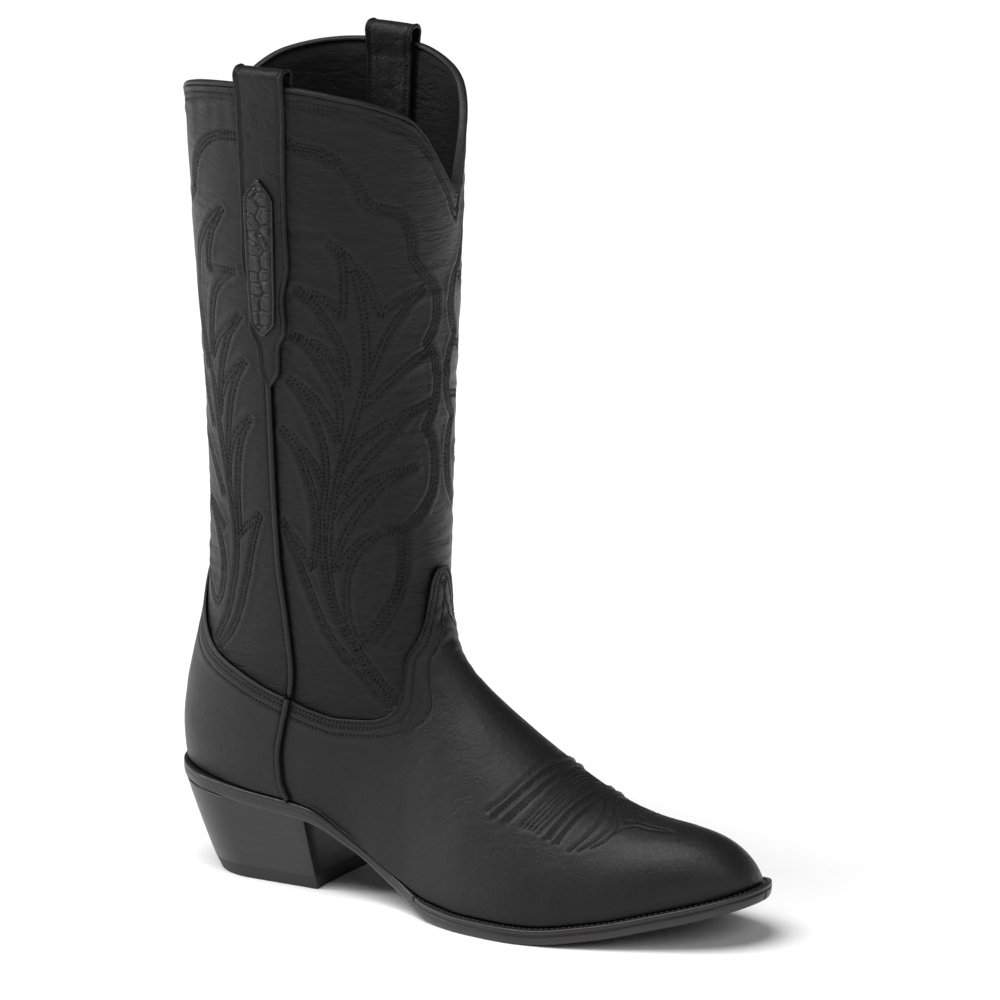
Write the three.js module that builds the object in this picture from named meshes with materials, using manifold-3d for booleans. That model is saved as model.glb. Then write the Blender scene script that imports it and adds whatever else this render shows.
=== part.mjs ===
// Cowboy boot (right foot): shaft, vamp, counter, linings, welted leather sole, stacked heel and pull straps.
// Millimetres, +Z up, +X to the toe, +Y to the inner side of the foot.
// The origin is on the floor under the middle of the heel cap.

import * as THREE from 'three';
import * as BufferGeometryUtils from 'three/addons/utils/BufferGeometryUtils.js';
import Module from 'manifold-3d';

const wasm = await Module();
wasm.setup();

// ---------------------------------------------------------------- driving dimensions

const GAP = 0.35; // clearance between touching pieces
const SEAM_X = 22; // the side seams run up both sides at this x
const STRAP_X = 24; // middle of the pull straps

// Depths below the boot's outer face. Negative is outside it.
const OVERLAY_OUT = -0.9; // vamp and counter, which lie over the shaft's lower edge
const OVERLAY_IN = 0.6;
const SHAFT_OUT = 1.0;
const SHAFT_IN = 2.5;
const LINING_OUT = 2.85;
const LINING_IN = 3.85;
const SEAM_LAP = 10; // how far the shaft runs down under the vamp and counter

const HEEL_BACK = -47; // ends of the upper at the feather line
const TOE_TIP = 238.5;
const MID_X = (HEEL_BACK + TOE_TIP) / 2;
const HALF_X = (TOE_TIP - HEEL_BACK) / 2;

const WELT_TOP = -0.35; // heights measured from the feather line
const WELT_BOTTOM = -2.6;
const SOLE_TOP = -2.95;
const SOLE_BOTTOM = -7.3;
const SOLE_LEDGE = 4.5; // the sole's ledge round the forepart
const HEEL_LEDGE = 2; // and round the heel; at the waist the sole pulls in flush
const WELT_START = 92; // x where the welt ends and the heel rand begins

const HEEL_BREAST_TOP = 29;
const HEEL_BREAST_BOTTOM = 31.5;
const CAP_HEIGHT = 6;
const LIFT_COUNT = 5;

const STRAP_POINT = 239; // height of the straps' points
const LOOP_TOP = 384;

// ---------------------------------------------------------------- curves and surfaces

// A smooth curve through [x, y] points that never overshoots them.
function curve(points) {
  const count = points.length;
  const step = [];
  const slope = [];
  for (let i = 0; i < count - 1; i += 1) {
    step.push(points[i + 1][0] - points[i][0]);
    slope.push((points[i + 1][1] - points[i][1]) / step[i]);
  }
  const tangent = [slope[0]];
  for (let i = 1; i < count - 1; i += 1) {
    const before = 2 * step[i] + step[i - 1];
    const after = step[i] + 2 * step[i - 1];
    const turns = slope[i - 1] * slope[i] <= 0;
    tangent.push(turns ? 0 : (before + after) / (before / slope[i - 1] + after / slope[i]));
  }
  tangent.push(slope[count - 2]);
  return (x) => {
    if (x <= points[0][0]) return points[0][1] + tangent[0] * (x - points[0][0]);
    if (x >= points[count - 1][0]) return points[count - 1][1] + tangent[count - 1] * (x - points[count - 1][0]);
    let i = 0;
    while (x > points[i + 1][0]) i += 1;
    const t = (x - points[i][0]) / step[i];
    const start = (1 + 2 * t) * (1 - t) ** 2 * points[i][1] + t * (1 - t) ** 2 * step[i] * tangent[i];
    const end = t * t * (3 - 2 * t) * points[i + 1][1] + t * t * (t - 1) * step[i] * tangent[i + 1];
    return start + end;
  };
}

const lerp = (a, b, t) => a + (b - a) * t;
const clamp = (value, low, high) => Math.min(Math.max(value, low), high);
const radians = (degrees) => (degrees * Math.PI) / 180;

// Angle along the plan outline: 0 at the back of the heel, pi at the toe tip, so both ends come out round.
const outlineAngle = (x) => Math.acos(clamp((MID_X - x) / HALF_X, -1, 1));
const outlineX = (angle) => MID_X - HALF_X * Math.cos(angle);
const planCurve = (points) => {
  const inAngle = curve(points.map(([x, y]) => [outlineAngle(x), y]));
  return (x) => inAngle(outlineAngle(x));
};

// Outline angle by share of the outline's length, 0 at the back of the heel and 1 at the toe tip.
function outlineByLength(edge) {
  const count = 120;
  const places = [];
  let run = 0;
  for (let i = 0; i <= count; i += 1) {
    const x = outlineX((i / count) * Math.PI);
    const before = outlineX((Math.max(i - 1, 0) / count) * Math.PI);
    run += Math.hypot(x - before, edge(x) - edge(before));
    places.push([run, (i / count) * Math.PI]);
  }
  return { angleAt: curve(places.map(([length, angle]) => [length / run, angle])),
    shareAt: curve(places.map(([length, angle]) => [angle, length / run])) };
}

// Feather line, where the upper meets the welt and the heel rand: height, then outer and inner plan edge.
const feather = curve([
  [-50, 50], [0, 44.6], [31, 41.3], [50, 31], [75, 16.8], [98, 8.8], [122, 7.3], [150, 7.3],
  [180, 11], [210, 18], [235, 24.6], [252, 29.5],
]);
const outerEdge = planCurve([
  [-47, 0], [-44, -14], [-36, -24], [-22, -31.5], [0, -34], [31, -33.5], [60, -32], [80, -34],
  [100, -39.5], [120, -44.5], [140, -46], [160, -43], [180, -36], [200, -27], [215, -19.5],
  [226, -12.5], [233, -5.5], [237, 2], [238.5, 9.5],
]);
const innerEdge = planCurve([
  [-47, 0], [-44, 14], [-36, 24], [-22, 31.5], [0, 34], [31, 32], [60, 28], [80, 28.5],
  [100, 32.5], [120, 37], [140, 40.5], [160, 42], [180, 40], [200, 36], [215, 32.5],
  [226, 28], [233, 23], [237, 16.5], [238.5, 9.5],
]);
const outlineRun = outlineByLength(outerEdge);
const ridge = curve([
  [40, 150], [60, 136], [84, 117], [103, 99.5], [131, 78.5], [158, 61], [175, 53.5],
  [190, 50.2], [205, 48.6], [216, 46.6], [225, 43.2], [232, 38.2], [236.5, 32.5], [238.5, 28],
]);

// Leg sections by height: back and front x, half-width.
const legBack = curve([
  [45, -47], [66, -49], [82, -47.3], [100, -43], [125, -36.8], [154, -34], [206, -33],
  [250, -34.5], [300, -37.5], [376, -41.8],
]);
const legFront = curve([[45, 76], [66, 78], [82, 80], [125, 82], [206, 82.5], [300, 85], [376, 87.5]]);
const legHalfWidth = curve([
  [45, 34.1], [66, 35.8], [100, 37], [125, 38.5], [154, 41.5], [206, 47.5], [250, 51.5], [300, 55], [376, 58.5],
]);

// Signed size of the boot's outer form at a point: below 0 inside, above 0 outside.
function outerForm(x, y, z) {
  const back = legBack(z);
  const front = legFront(z);
  const halfWidth = legHalfWidth(z);
  const middle = lerp(back, front, 0.47);
  const reach = x < middle ? middle - back : front - middle;
  const around = ((Math.abs(x - middle) / reach) ** 2.15 + (Math.abs(y) / halfWidth) ** 2.15) ** (1 / 2.15);
  const leg = (around - 1) * Math.min(reach, halfWidth);

  const station = clamp(x, HEEL_BACK + 1, TOE_TIP - 0.1);
  const outer = outerEdge(station);
  const inner = innerEdge(station);
  const half = Math.max((inner - outer) / 2, 0.3);
  const height = Math.max(ridge(station) - feather(x), 0.5);
  const rise = Math.max(z - feather(x), 0) / height;
  const offset = Math.abs(y - ((inner + outer) / 2) * (1 - 0.55 * rise));
  const across = lerp(1.75, 2.2, clamp((x - 60) / 190, 0, 1));
  const upward = lerp(1.7, 2.2, clamp((x - 60) / 190, 0, 1));
  const dome = ((offset / half) ** across + rise ** upward) ** (2 / (across + upward));
  const behind = Math.max(70 - x, 0);
  const fade = behind < 16 ? behind ** 2 / 32 : behind - 8;
  const past = Math.max(x - TOE_TIP + 0.1, 0) + 0.3 * fade;
  const foot = (dome - 1) * Math.min(half, height) + past;

  const blend = 9;
  const share = clamp(0.5 + (foot - leg) / (2 * blend), 0, 1);
  return lerp(foot, leg, share) - blend * share * (1 - share);
}

function outerNormal(point) {
  const [x, y, z] = point;
  const h = 0.6;
  const normal = new THREE.Vector3(
    outerForm(x + h, y, z) - outerForm(x - h, y, z),
    outerForm(x, y + h, z) - outerForm(x, y - h, z),
    outerForm(x, y, z + h) - outerForm(x, y, z - h),
  );
  return normal.normalize();
}

// The outer face met from a point along a direction, forward when the point is inside and back when outside.
function meetSurface(from, direction) {
  const along = (r) => from.clone().addScaledVector(direction, r);
  const inside = (r) => {
    const p = along(r);
    return outerForm(p.x, p.y, p.z) < 0;
  };
  const start = inside(0);
  const stride = start ? 2 : -2;
  let near = 0;
  let far = stride;
  while (inside(far) === start && Math.abs(far) < 260) {
    near = far;
    far += stride;
  }
  for (let i = 0; i < 24; i += 1) {
    const middle = (near + far) / 2;
    if (inside(middle) === start) near = middle;
    else far = middle;
  }
  return along((near + far) / 2);
}

// Outer face of the leg at an angle (degrees, 0 at the front, +90 at the inner side seam) and a height.
function legPoint(angle, z) {
  const direction = new THREE.Vector3(Math.cos(radians(angle)), Math.sin(radians(angle)), 0);
  return meetSurface(new THREE.Vector3(SEAM_X, 0, z), direction);
}

// A point of the plan outline, pushed outward by a ledge, at a height above the feather line.
function edgePoint(side, angle, ledge, above) {
  const edge = side < 0 ? outerEdge : innerEdge;
  const at = (a) => new THREE.Vector2(outlineX(a), edge(outlineX(a)));
  const point = at(angle);
  const step = 0.01;
  const run = at(Math.min(angle + step, Math.PI)).sub(at(Math.max(angle - step, 0)));
  const outward = new THREE.Vector2(-run.y, run.x).multiplyScalar(side).normalize();
  if (angle < step) outward.set(-1, 0);
  if (angle > Math.PI - step) outward.set(1, 0);
  const x = point.x + outward.x * ledge;
  return new THREE.Vector3(x, point.y + outward.y * ledge, feather(x) + above);
}

// ---------------------------------------------------------------- seam lines, as height by angle

// A curve of the spread that is alike on both sides of the boot.
function mirrored(points) {
  const height = curve(points);
  return (spread) => height(Math.abs(spread));
}

// Spreads count from the front for the vamp and from the back for the counter.
const vampSeam = mirrored([
  [0, 153], [4, 152], [8, 146], [10, 138], [13, 128], [17, 120.5], [21.5, 114], [23.5, 105],
  [25.5, 94], [29, 88], [36, 84.8], [52, 84.5], [67, 86.6], [90, 91],
]);
const counterSeam = mirrored([
  [0, 146], [5, 144], [10, 138], [15, 130], [20, 123], [25, 117], [30, 112], [38, 106], [55, 99.5],
  [72, 94.5], [90, 91],
]);
// The dip at the front stands a little toward the inner side (above 0).
const topFront = curve([
  [-90, 374.5], [-73, 374], [-45, 369], [-30, 363.5], [-22.5, 359.5], [-15, 351.5], [-8.2, 341.4], [0, 330],
  [9, 320], [12, 328], [15, 335], [20, 344], [28, 354], [40, 364], [52, 369], [75, 374], [90, 374.5],
]);
const topBack = mirrored([[0, 322], [5, 335], [10, 344], [20, 355], [42, 368], [68, 373], [90, 374.5]]);
// Angle of the side seams from the front, by height: nearly upright on the leg, drawn back over the heel.
const sideSeam = curve([
  [42.4, 90], [52, 96], [62, 96.5], [80, 91.5], [92, 87], [104, 85], [128, 87.5], [158, 90.5], [240, 89], [376, 89],
]);

// ---------------------------------------------------------------- closed solids

// A solid from its points and triangles, turned so that its faces point out.
function solid(points, triangles) {
  let volume = 0;
  for (const [a, b, c] of triangles) volume += points[a].dot(points[b].clone().cross(points[c]));
  const facing = volume > 0 ? triangles : triangles.map(([a, b, c]) => [a, c, b]);
  const geometry = new THREE.BufferGeometry();
  geometry.setAttribute('position', new THREE.Float32BufferAttribute(points.flatMap((p) => p.toArray()), 3));
  geometry.setIndex(facing.flat());
  return geometry;
}

// A solid through a row of closed sections with equal point counts, its two ends closed by flat fans.
function loft(sections) {
  const size = sections[0].length;
  const points = sections.flat();
  const triangles = [];
  for (let i = 0; i < sections.length - 1; i += 1) {
    for (let j = 0; j < size; j += 1) {
      const a = i * size + j;
      const b = i * size + ((j + 1) % size);
      triangles.push([a, b, b + size], [a, b + size, a + size]);
    }
  }
  const last = (sections.length - 1) * size;
  for (let j = 1; j < size - 1; j += 1) {
    triangles.push([0, j + 1, j], [last, last + j, last + j + 1]);
  }
  return solid(points, triangles);
}

// A sheet of leather: a grid of outer-face points, given an outer and an inner depth.
function sheet(columns, depthOut, depthIn) {
  const rows = columns[0].length;
  const normals = columns.map((column) => column.map((point, j) => {
    const normal = outerNormal(point.toArray());
    return j === 0 ? normal.setZ(0).normalize() : normal;
  }));
  const faces = [depthOut, depthIn].map((depth) => columns.map((column, i) => column.map((point, j) => {
    const deep = typeof depth === 'function' ? depth(i / (columns.length - 1), j / (rows - 1)) : depth;
    return point.clone().addScaledVector(normals[i][j], -deep);
  })));
  const points = faces.flat(2);
  const inner = columns.length * rows;
  const triangles = [];
  const quad = (a, b, c, d) => triangles.push([a, b, c], [a, c, d]);
  for (let i = 0; i < columns.length - 1; i += 1) {
    const a = i * rows;
    for (let j = 0; j < rows - 1; j += 1) {
      quad(a + j, a + rows + j, a + rows + j + 1, a + j + 1);
      quad(inner + a + j, inner + a + j + 1, inner + a + rows + j + 1, inner + a + rows + j);
    }
    quad(a, inner + a, inner + a + rows, a + rows);
    const top = a + rows - 1;
    quad(top, top + rows, inner + top + rows, inner + top);
  }
  for (let j = 0; j < rows - 1; j += 1) {
    quad(j, j + 1, inner + j + 1, inner + j);
    const end = (columns.length - 1) * rows + j;
    quad(end, inner + end, inner + end + 1, end + 1);
  }
  return solid(points, triangles);
}

function mesh(name, geometry, material) {
  const piece = new THREE.Mesh(geometry, material.clone());
  piece.name = name;
  return piece;
}

const range = (count) => Array.from({ length: count + 1 }, (_, i) => i / count);

// ---------------------------------------------------------------- materials

const leather = (color, roughness) => new THREE.MeshStandardMaterial({ color, roughness, metalness: 0 });
const SHAFT_LEATHER = leather('#2b2a2c', 0.5);
const FOOT_LEATHER = leather('#2a292b', 0.42);
const LINING_LEATHER = leather('#161515', 0.7);
const CROC_LEATHER = leather('#151415', 0.25);
const SOLE_LEATHER = leather('#2a2524', 0.45);
const BARE_LEATHER = leather('#b08a5e', 0.75);
const RUBBER = leather('#1c1a19', 0.7);
const CORK = leather('#a8794a', 0.9);
const WOOD = leather('#cdb489', 0.7);
const STIFF_BOARD = leather('#8d7a63', 0.85);
const STEEL = new THREE.MeshStandardMaterial({ color: '#9a9da1', roughness: 0.35, metalness: 1 });
const BRASS = new THREE.MeshStandardMaterial({ color: '#b08d46', roughness: 0.35, metalness: 1 });

// ---------------------------------------------------------------- shaft and its lining

// Spreads run over a panel from one side seam to the other: 0 in its middle and 90 on the seams.
const HALF_SPAN = 89.7;
const FRONT_COLUMNS = 40;
const BACK_COLUMNS = 24;
const LEG_ROWS = 5;
const panelSpreads = (count) => range(count).map((u) => lerp(-HALF_SPAN, HALF_SPAN, u));

// A point of a leg panel at a spread and a height.
function panelPoint(facing, spread, z) {
  const seam = sideSeam(z);
  return legPoint(facing === 'front' ? (spread / 90) * seam : 180 + (spread / 90) * (180 - seam), z);
}

// Columns of a leg panel through a list of heights, each a function of the spread.
function legColumns(facing, count, heights) {
  return panelSpreads(count).map((spread) => (
    heights.map((height) => panelPoint(facing, spread, height(spread)))
  ));
}

// Heights from a seam up to the top edge.
function heightsAbove(seam, top) {
  return range(LEG_ROWS).map((v) => (a) => lerp(seam(a), top(a), v));
}

// Height of the feather line under the back panel at a spread.
function featherUnder(spread) {
  let z = 45;
  for (let i = 0; i < 6; i += 1) z = feather(panelPoint('back', spread, z).x);
  return z;
}

const lowered = (seam, drop) => (a) => seam(a) - drop;

// Heights of the back of the foot, from the feather line to the lap under the counter's top edge.
const stiffenerTop = (a) => 66 + 14 * Math.cos(radians(a));
const lapStart = lowered(counterSeam, SEAM_LAP + 0.7);
const FEATHER_CLEARANCE = 0.25;
const heelHeights = [0, 1 / 3, 2 / 3, 1].map((v) => (a) => (
  lerp(featherUnder(Math.abs(a)) + FEATHER_CLEARANCE, stiffenerTop(a), v)
));
const counterHeights = [1 / 3, 2 / 3, 1].map((v) => (a) => lerp(stiffenerTop(a), lapStart(a), v));

function shaftPieces() {
  const frontHeights = [lowered(vampSeam, SEAM_LAP), ...heightsAbove(vampSeam, topFront)];
  const backHeights = [lowered(counterSeam, SEAM_LAP), ...heightsAbove(counterSeam, topBack)];
  const liningHeights = [...heelHeights, ...counterHeights, ...heightsAbove(counterSeam, topBack)];
  const front = legColumns('front', FRONT_COLUMNS, frontHeights);
  const back = legColumns('back', BACK_COLUMNS, backHeights);
  const backLining = legColumns('back', BACK_COLUMNS, liningHeights);
  return [
    mesh('front_shaft', sheet(front, SHAFT_OUT, SHAFT_IN), SHAFT_LEATHER),
    mesh('back_shaft', sheet(back, SHAFT_OUT, SHAFT_IN), SHAFT_LEATHER),
    mesh('front_shaft_lining', sheet(front, LINING_OUT, LINING_IN), LINING_LEATHER),
    mesh('back_lining', sheet(backLining, LINING_OUT, LINING_IN), LINING_LEATHER),
  ];
}

// Rolled bead along the top edge, one length on each panel, bending where the panel's columns stand.
function toplineBead(name, facing, columns, topAt) {
  const sections = panelSpreads(columns).map((spread) => {
    const edge = topAt(spread) + 1.5 * GAP;
    const face = panelPoint(facing, spread, edge);
    const outward = outerNormal(face.toArray()).setZ(0).normalize();
    const corners = [[0.8, 0], [0.5, 1.1], [1.6, 1.9], [3.2, 1.9], [4.3, 1.1], [4, 0]];
    return corners.map(([depth, up]) => face.clone().addScaledVector(outward, -depth).setZ(edge + up));
  });
  return mesh(name, loft(sections), FOOT_LEATHER);
}

// ---------------------------------------------------------------- foot: vamp, counter and what backs them

// Guide along the top of the foot, from the toe tip up to the peak of the tongue.
const FOOT_ROWS = 6;
const ridgeGuide = new THREE.CatmullRomCurve3([
  new THREE.Vector3(TOE_TIP, 9.5, 27), new THREE.Vector3(232, 9, 38.2), new THREE.Vector3(205, 6.5, 48.6),
  new THREE.Vector3(175, 3, 53.5), new THREE.Vector3(158, 2, 61), new THREE.Vector3(131, 0, 78.5),
  new THREE.Vector3(103, 0, 99.5), new THREE.Vector3(86, 0, 122), new THREE.Vector3(82, 0, 153),
], false, 'centripetal');

// The forepart between the side seams, in columns that run from the feather line up to the lap under the
// vamp's top edge. They go from the outer seam round the toe to the inner seam.
function footColumns() {
  const seamAngle = outlineAngle(SEAM_X + 0.2);
  const seamShare = outlineRun.shareAt(seamAngle);
  const up = new THREE.Vector3(0, 0, 1);
  const lap = lowered(vampSeam, SEAM_LAP + 0.7);
  const foot = (side, angle) => edgePoint(side, angle, 0, FEATHER_CLEARANCE);
  const seamLow = feather(SEAM_X) + FEATHER_CLEARANCE;
  const seamPoint = (side, v) => panelPoint('front', side * HALF_SPAN, lerp(seamLow, lap(HALF_SPAN), v));
  return panelSpreads(FRONT_COLUMNS).map((spread) => {
    const side = spread < 0 ? -1 : 1;
    const s = 1 - Math.abs(spread) / HALF_SPAN;
    const outline = outlineRun.angleAt(lerp(seamShare, 1, s));
    const bottom = foot(side, outline);
    const top = panelPoint('front', spread, lap(spread));
    const straightRidge = new THREE.Line3(foot(side, Math.PI), legPoint(0, lap(0)));
    const straightSeam = new THREE.Line3(seamPoint(side, 0), seamPoint(side, 1));
    const outward = edgePoint(side, outline, 1, 0).sub(edgePoint(side, outline, 0, 0)).setZ(0).normalize();
    const forward = new THREE.Vector3(Math.cos(radians(spread)), Math.sin(radians(spread)), 0);
    return range(FOOT_ROWS).map((v) => {
      if (v === 0) return bottom;
      if (v === 1) return top;
      const bulge = ridgeGuide.getPoint(v).sub(straightRidge.at(v, new THREE.Vector3()));
      const bow = seamPoint(side, v).sub(straightSeam.at(v, new THREE.Vector3()));
      const from = new THREE.Vector3().lerpVectors(bottom, top, v).addScaledVector(bulge, s);
      from.addScaledVector(bow, (1 - s) ** 3);
      const direction = new THREE.Vector3().lerpVectors(outward, forward, v);
      direction.addScaledVector(up, 3 * v * (1 - v) * (0.3 + s)).normalize();
      return meetSurface(from, direction);
    });
  });
}

// Depth of the vamp lining: close under the vamp where there is no toe box and no shaft between them.
function liningDepth(depth) {
  const lift = LINING_OUT - SHAFT_OUT - 0.55;
  return (u, v) => {
    const behindToe = clamp((Math.abs(2 * u - 1) - 0.42) / 0.15, 0, 1);
    const nearSeam = clamp((v - 0.6) / 0.3, 0, 1);
    const nearSide = clamp((Math.abs(2 * u - 1) - 0.75) / 0.2, 0, 1);
    return depth - lift * behindToe * (1 - nearSeam) * (1 - nearSide);
  };
}

function footPieces() {
  const underVamp = footColumns();
  const seamPoints = legColumns('front', FRONT_COLUMNS, [vampSeam]);
  const vamp = underVamp.map((column, i) => [...column, ...seamPoints[i]]);
  const toeColumns = Math.round(FRONT_COLUMNS * 0.3);
  const toeBox = underVamp.slice(toeColumns, FRONT_COLUMNS + 1 - toeColumns).map((column) => column.slice(0, 5));
  const counter = legColumns('back', BACK_COLUMNS, [...heelHeights, ...counterHeights, counterSeam]);
  const stiffener = legColumns('back', BACK_COLUMNS, heelHeights).slice(1, -1);
  return [
    mesh('vamp', sheet(vamp, OVERLAY_OUT, OVERLAY_IN), FOOT_LEATHER),
    mesh('vamp_lining', sheet(underVamp, liningDepth(LINING_OUT), liningDepth(LINING_IN)), LINING_LEATHER),
    mesh('toe_box', sheet(toeBox, SHAFT_OUT, SHAFT_IN), STIFF_BOARD),
    mesh('heel_counter_cover', sheet(counter, OVERLAY_OUT, OVERLAY_IN), FOOT_LEATHER),
    mesh('counter_stiffener', sheet(stiffener, SHAFT_OUT, SHAFT_IN), STIFF_BOARD),
  ];
}

// Piping over a side seam: a round cord laid on the leather.
function sidePiping(name, side, bottom, top, depth, radius) {
  const sections = range(Math.round((top - bottom) / 12)).map((v) => {
    const face = panelPoint('front', side * 90, lerp(bottom, top, v));
    const normal = outerNormal(face.toArray());
    const across = new THREE.Vector3(1, 0, 0);
    const centre = face.clone().addScaledVector(normal, radius + 2 * GAP - depth);
    return range(8).slice(0, 8).map((turn) => {
      const angle = turn * 2 * Math.PI;
      return centre.clone().addScaledVector(across, radius * Math.cos(angle))
        .addScaledVector(normal, radius * Math.sin(angle));
    });
  });
  return mesh(name, loft(sections), FOOT_LEATHER);
}

// ---------------------------------------------------------------- pull straps

// Half-width of a strap by height: parallel, flared at the waist of the shield, then drawn to a point.
const strapHalfWidth = curve([
  [STRAP_POINT, 1.2], [245, 5], [257, 6], [265, 9.5], [279, 9], [296, 12], [315, 11.5], [384, 12.5],
]);
const shieldHalfWidth = curve([[262, 0.8], [269, 6.3], [296, 7.2], [324, 7.6], [334, 0.8]]);

// Distance of the leg's outer face from the middle plane, measured across the boot.
function legSide(x, z) {
  const angleSide = meetSurface(new THREE.Vector3(x, 0, z), new THREE.Vector3(0, 1, 0));
  return angleSide.y;
}

// A strap's run as [distance out from the leg's face, height], up the outside, over and down inside.
function strapRun() {
  const outside = [[-0.15, STRAP_POINT], [-0.15, 246], [-0.15, 257], [-0.15, 265], [-0.15, 279], [-0.15, 296],
    [-0.15, 315], [-0.15, 335], [-0.15, 355], [-0.15, 369], [0.9, 375]];
  const outer = 1.9;
  const inner = -6.6;
  const crown = LOOP_TOP - 0.85;
  const radius = 3.2;
  const arch = [[outer, crown - radius], [outer - 0.3 * radius, crown - 0.3 * radius], [outer - radius, crown],
    [inner + radius, crown], [inner + 0.3 * radius, crown - 0.3 * radius], [inner, crown - radius]];
  const inside = [[-6.1, 375], [-5.2, 369], [-5.2, 350], [-5.2, 330], [-5.2, 310]];
  return [...outside, ...arch, ...inside];
}

function pullStrap(name, side) {
  const thickness = 1.5;
  const run = strapRun();
  const across = [-1, -0.5, 0, 0.5, 1];
  const place = (u, [out, z]) => {
    const x = STRAP_X + u * strapHalfWidth(Math.max(z, STRAP_POINT));
    return new THREE.Vector3(x, side * (legSide(x, Math.min(z, 372)) + out), z);
  };
  const sections = run.map((step, k) => {
    const before = run[Math.max(k - 1, 0)];
    const after = run[Math.min(k + 1, run.length - 1)];
    const lean = new THREE.Vector2(after[1] - before[1], before[0] - after[0]).normalize();
    const half = thickness / 2;
    const face = across.map((u) => place(u, [step[0] + lean.x * half, step[1] + lean.y * half]));
    const behind = across.map((u) => place(u, [step[0] - lean.x * half, step[1] - lean.y * half]));
    return [...face, ...behind.reverse()];
  });
  return mesh(name, loft(sections), FOOT_LEATHER);
}

// Embossed shield stitched on the outside of each strap.
function strapShield(name, side) {
  const across = [-1, -0.33, 0.33, 1];
  const layer = (z, out) => across.map((u) => {
    const x = STRAP_X - 1.5 + u * shieldHalfWidth(z);
    return new THREE.Vector3(x, side * (legSide(x, z) + out), z);
  });
  const heights = [262, 265, 269, 282, 296, 310, 324, 329, 334];
  const sections = heights.map((z) => [...layer(z, 2.2), ...layer(z, 0.95).reverse()]);
  return mesh(name, loft(sections), CROC_LEATHER);
}

// ---------------------------------------------------------------- bottom: insole, welt, rand, sole

// Ledge of the sole beyond the upper, by x.
const soleLedge = curve([
  [-50, HEEL_LEDGE], [31, HEEL_LEDGE], [45, 0.6], [60, 0], [75, 0.6], [92, 2.8], [105, SOLE_LEDGE], [250, SOLE_LEDGE],
]);

// A flat piece of the bottom between two outline angles, inset or pushed out from the upper's edge.
function bottomPlate(fromX, toX, ledge, above, below, count) {
  const start = outlineRun.shareAt(outlineAngle(fromX));
  const end = outlineRun.shareAt(outlineAngle(toX));
  const reach = typeof ledge === 'function' ? ledge : () => ledge;
  const sections = range(count).map((t) => {
    const angle = clamp(outlineRun.angleAt(lerp(start, end, t)), 0.04, Math.PI - 0.04);
    const out = reach(outlineX(angle));
    const corner = (side, height) => edgePoint(side, angle, out, height);
    return [corner(-1, above), corner(1, above), corner(1, below), corner(-1, below)];
  });
  return loft(sections);
}

// A strip round the outline, from one x on the outer side round an end to one x on the inner side.
function edgeStrip(fromX, roundEnd, insideLedge, outsideLedge, above, below, count) {
  const end = roundEnd === 'toe' ? 1 : 0;
  const start = outlineRun.shareAt(outlineAngle(fromX));
  const sections = range(count).map((t) => {
    const turn = 2 * t - 1;
    const side = turn < 0 ? -1 : 1;
    const angle = outlineRun.angleAt(lerp(end, start, Math.abs(turn)));
    const out = outsideLedge(outlineX(angle));
    return [
      edgePoint(side, angle, insideLedge, above), edgePoint(side, angle, out, above),
      edgePoint(side, angle, out, below), edgePoint(side, angle, insideLedge, below),
    ];
  });
  return loft(sections);
}

function toManifold(geometry) {
  const bare = geometry.clone();
  bare.deleteAttribute('normal');
  bare.deleteAttribute('uv');
  const merged = BufferGeometryUtils.mergeVertices(bare, 1e-4);
  const description = {
    numProp: 3,
    vertProperties: new Float32Array(merged.attributes.position.array),
    triVerts: new Uint32Array(merged.index.array),
  };
  return new wasm.Manifold(new wasm.Mesh(description));
}

function fromManifold(body) {
  const result = body.getMesh();
  const geometry = new THREE.BufferGeometry();
  geometry.setAttribute('position', new THREE.BufferAttribute(result.vertProperties, 3));
  geometry.setIndex(new THREE.BufferAttribute(result.triVerts, 1));
  return geometry;
}

// Wooden pegs hold the waist of the sole, in two rows between the heel and the welt.
const PEG_RADIUS = 1.1;
const PEG_XS = [42, 51, 60, 69, 78];
const pegPlaces = PEG_XS.flatMap((x) => [[x, outerEdge(x) + 5.5], [x, innerEdge(x) - 5.5]]);

function upright(radius, low, high, sides, x, y) {
  const rod = new THREE.CylinderGeometry(radius, radius, high - low, sides);
  rod.rotateX(Math.PI / 2);
  rod.translate(x, y, (low + high) / 2);
  return rod;
}

function outsole() {
  const ledge = (x) => soleLedge(x);
  let body = toManifold(bottomPlate(HEEL_BACK, TOE_TIP, ledge, SOLE_TOP, SOLE_BOTTOM, 56));
  for (const [x, y] of pegPlaces) {
    body = body.subtract(toManifold(upright(PEG_RADIUS + GAP, feather(x) - 15, feather(x) + 5, 8, x, y)));
  }
  return mesh('outsole', fromManifold(body), SOLE_LEATHER);
}

function pegs() {
  return pegPlaces.map(([x, y], i) => {
    const low = feather(x) + SOLE_BOTTOM + 0.9;
    const high = feather(x) + SOLE_TOP - 0.6;
    return mesh(`wooden_peg_${i + 1}`, upright(PEG_RADIUS, low, high, 8, x, y), WOOD);
  });
}

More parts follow.
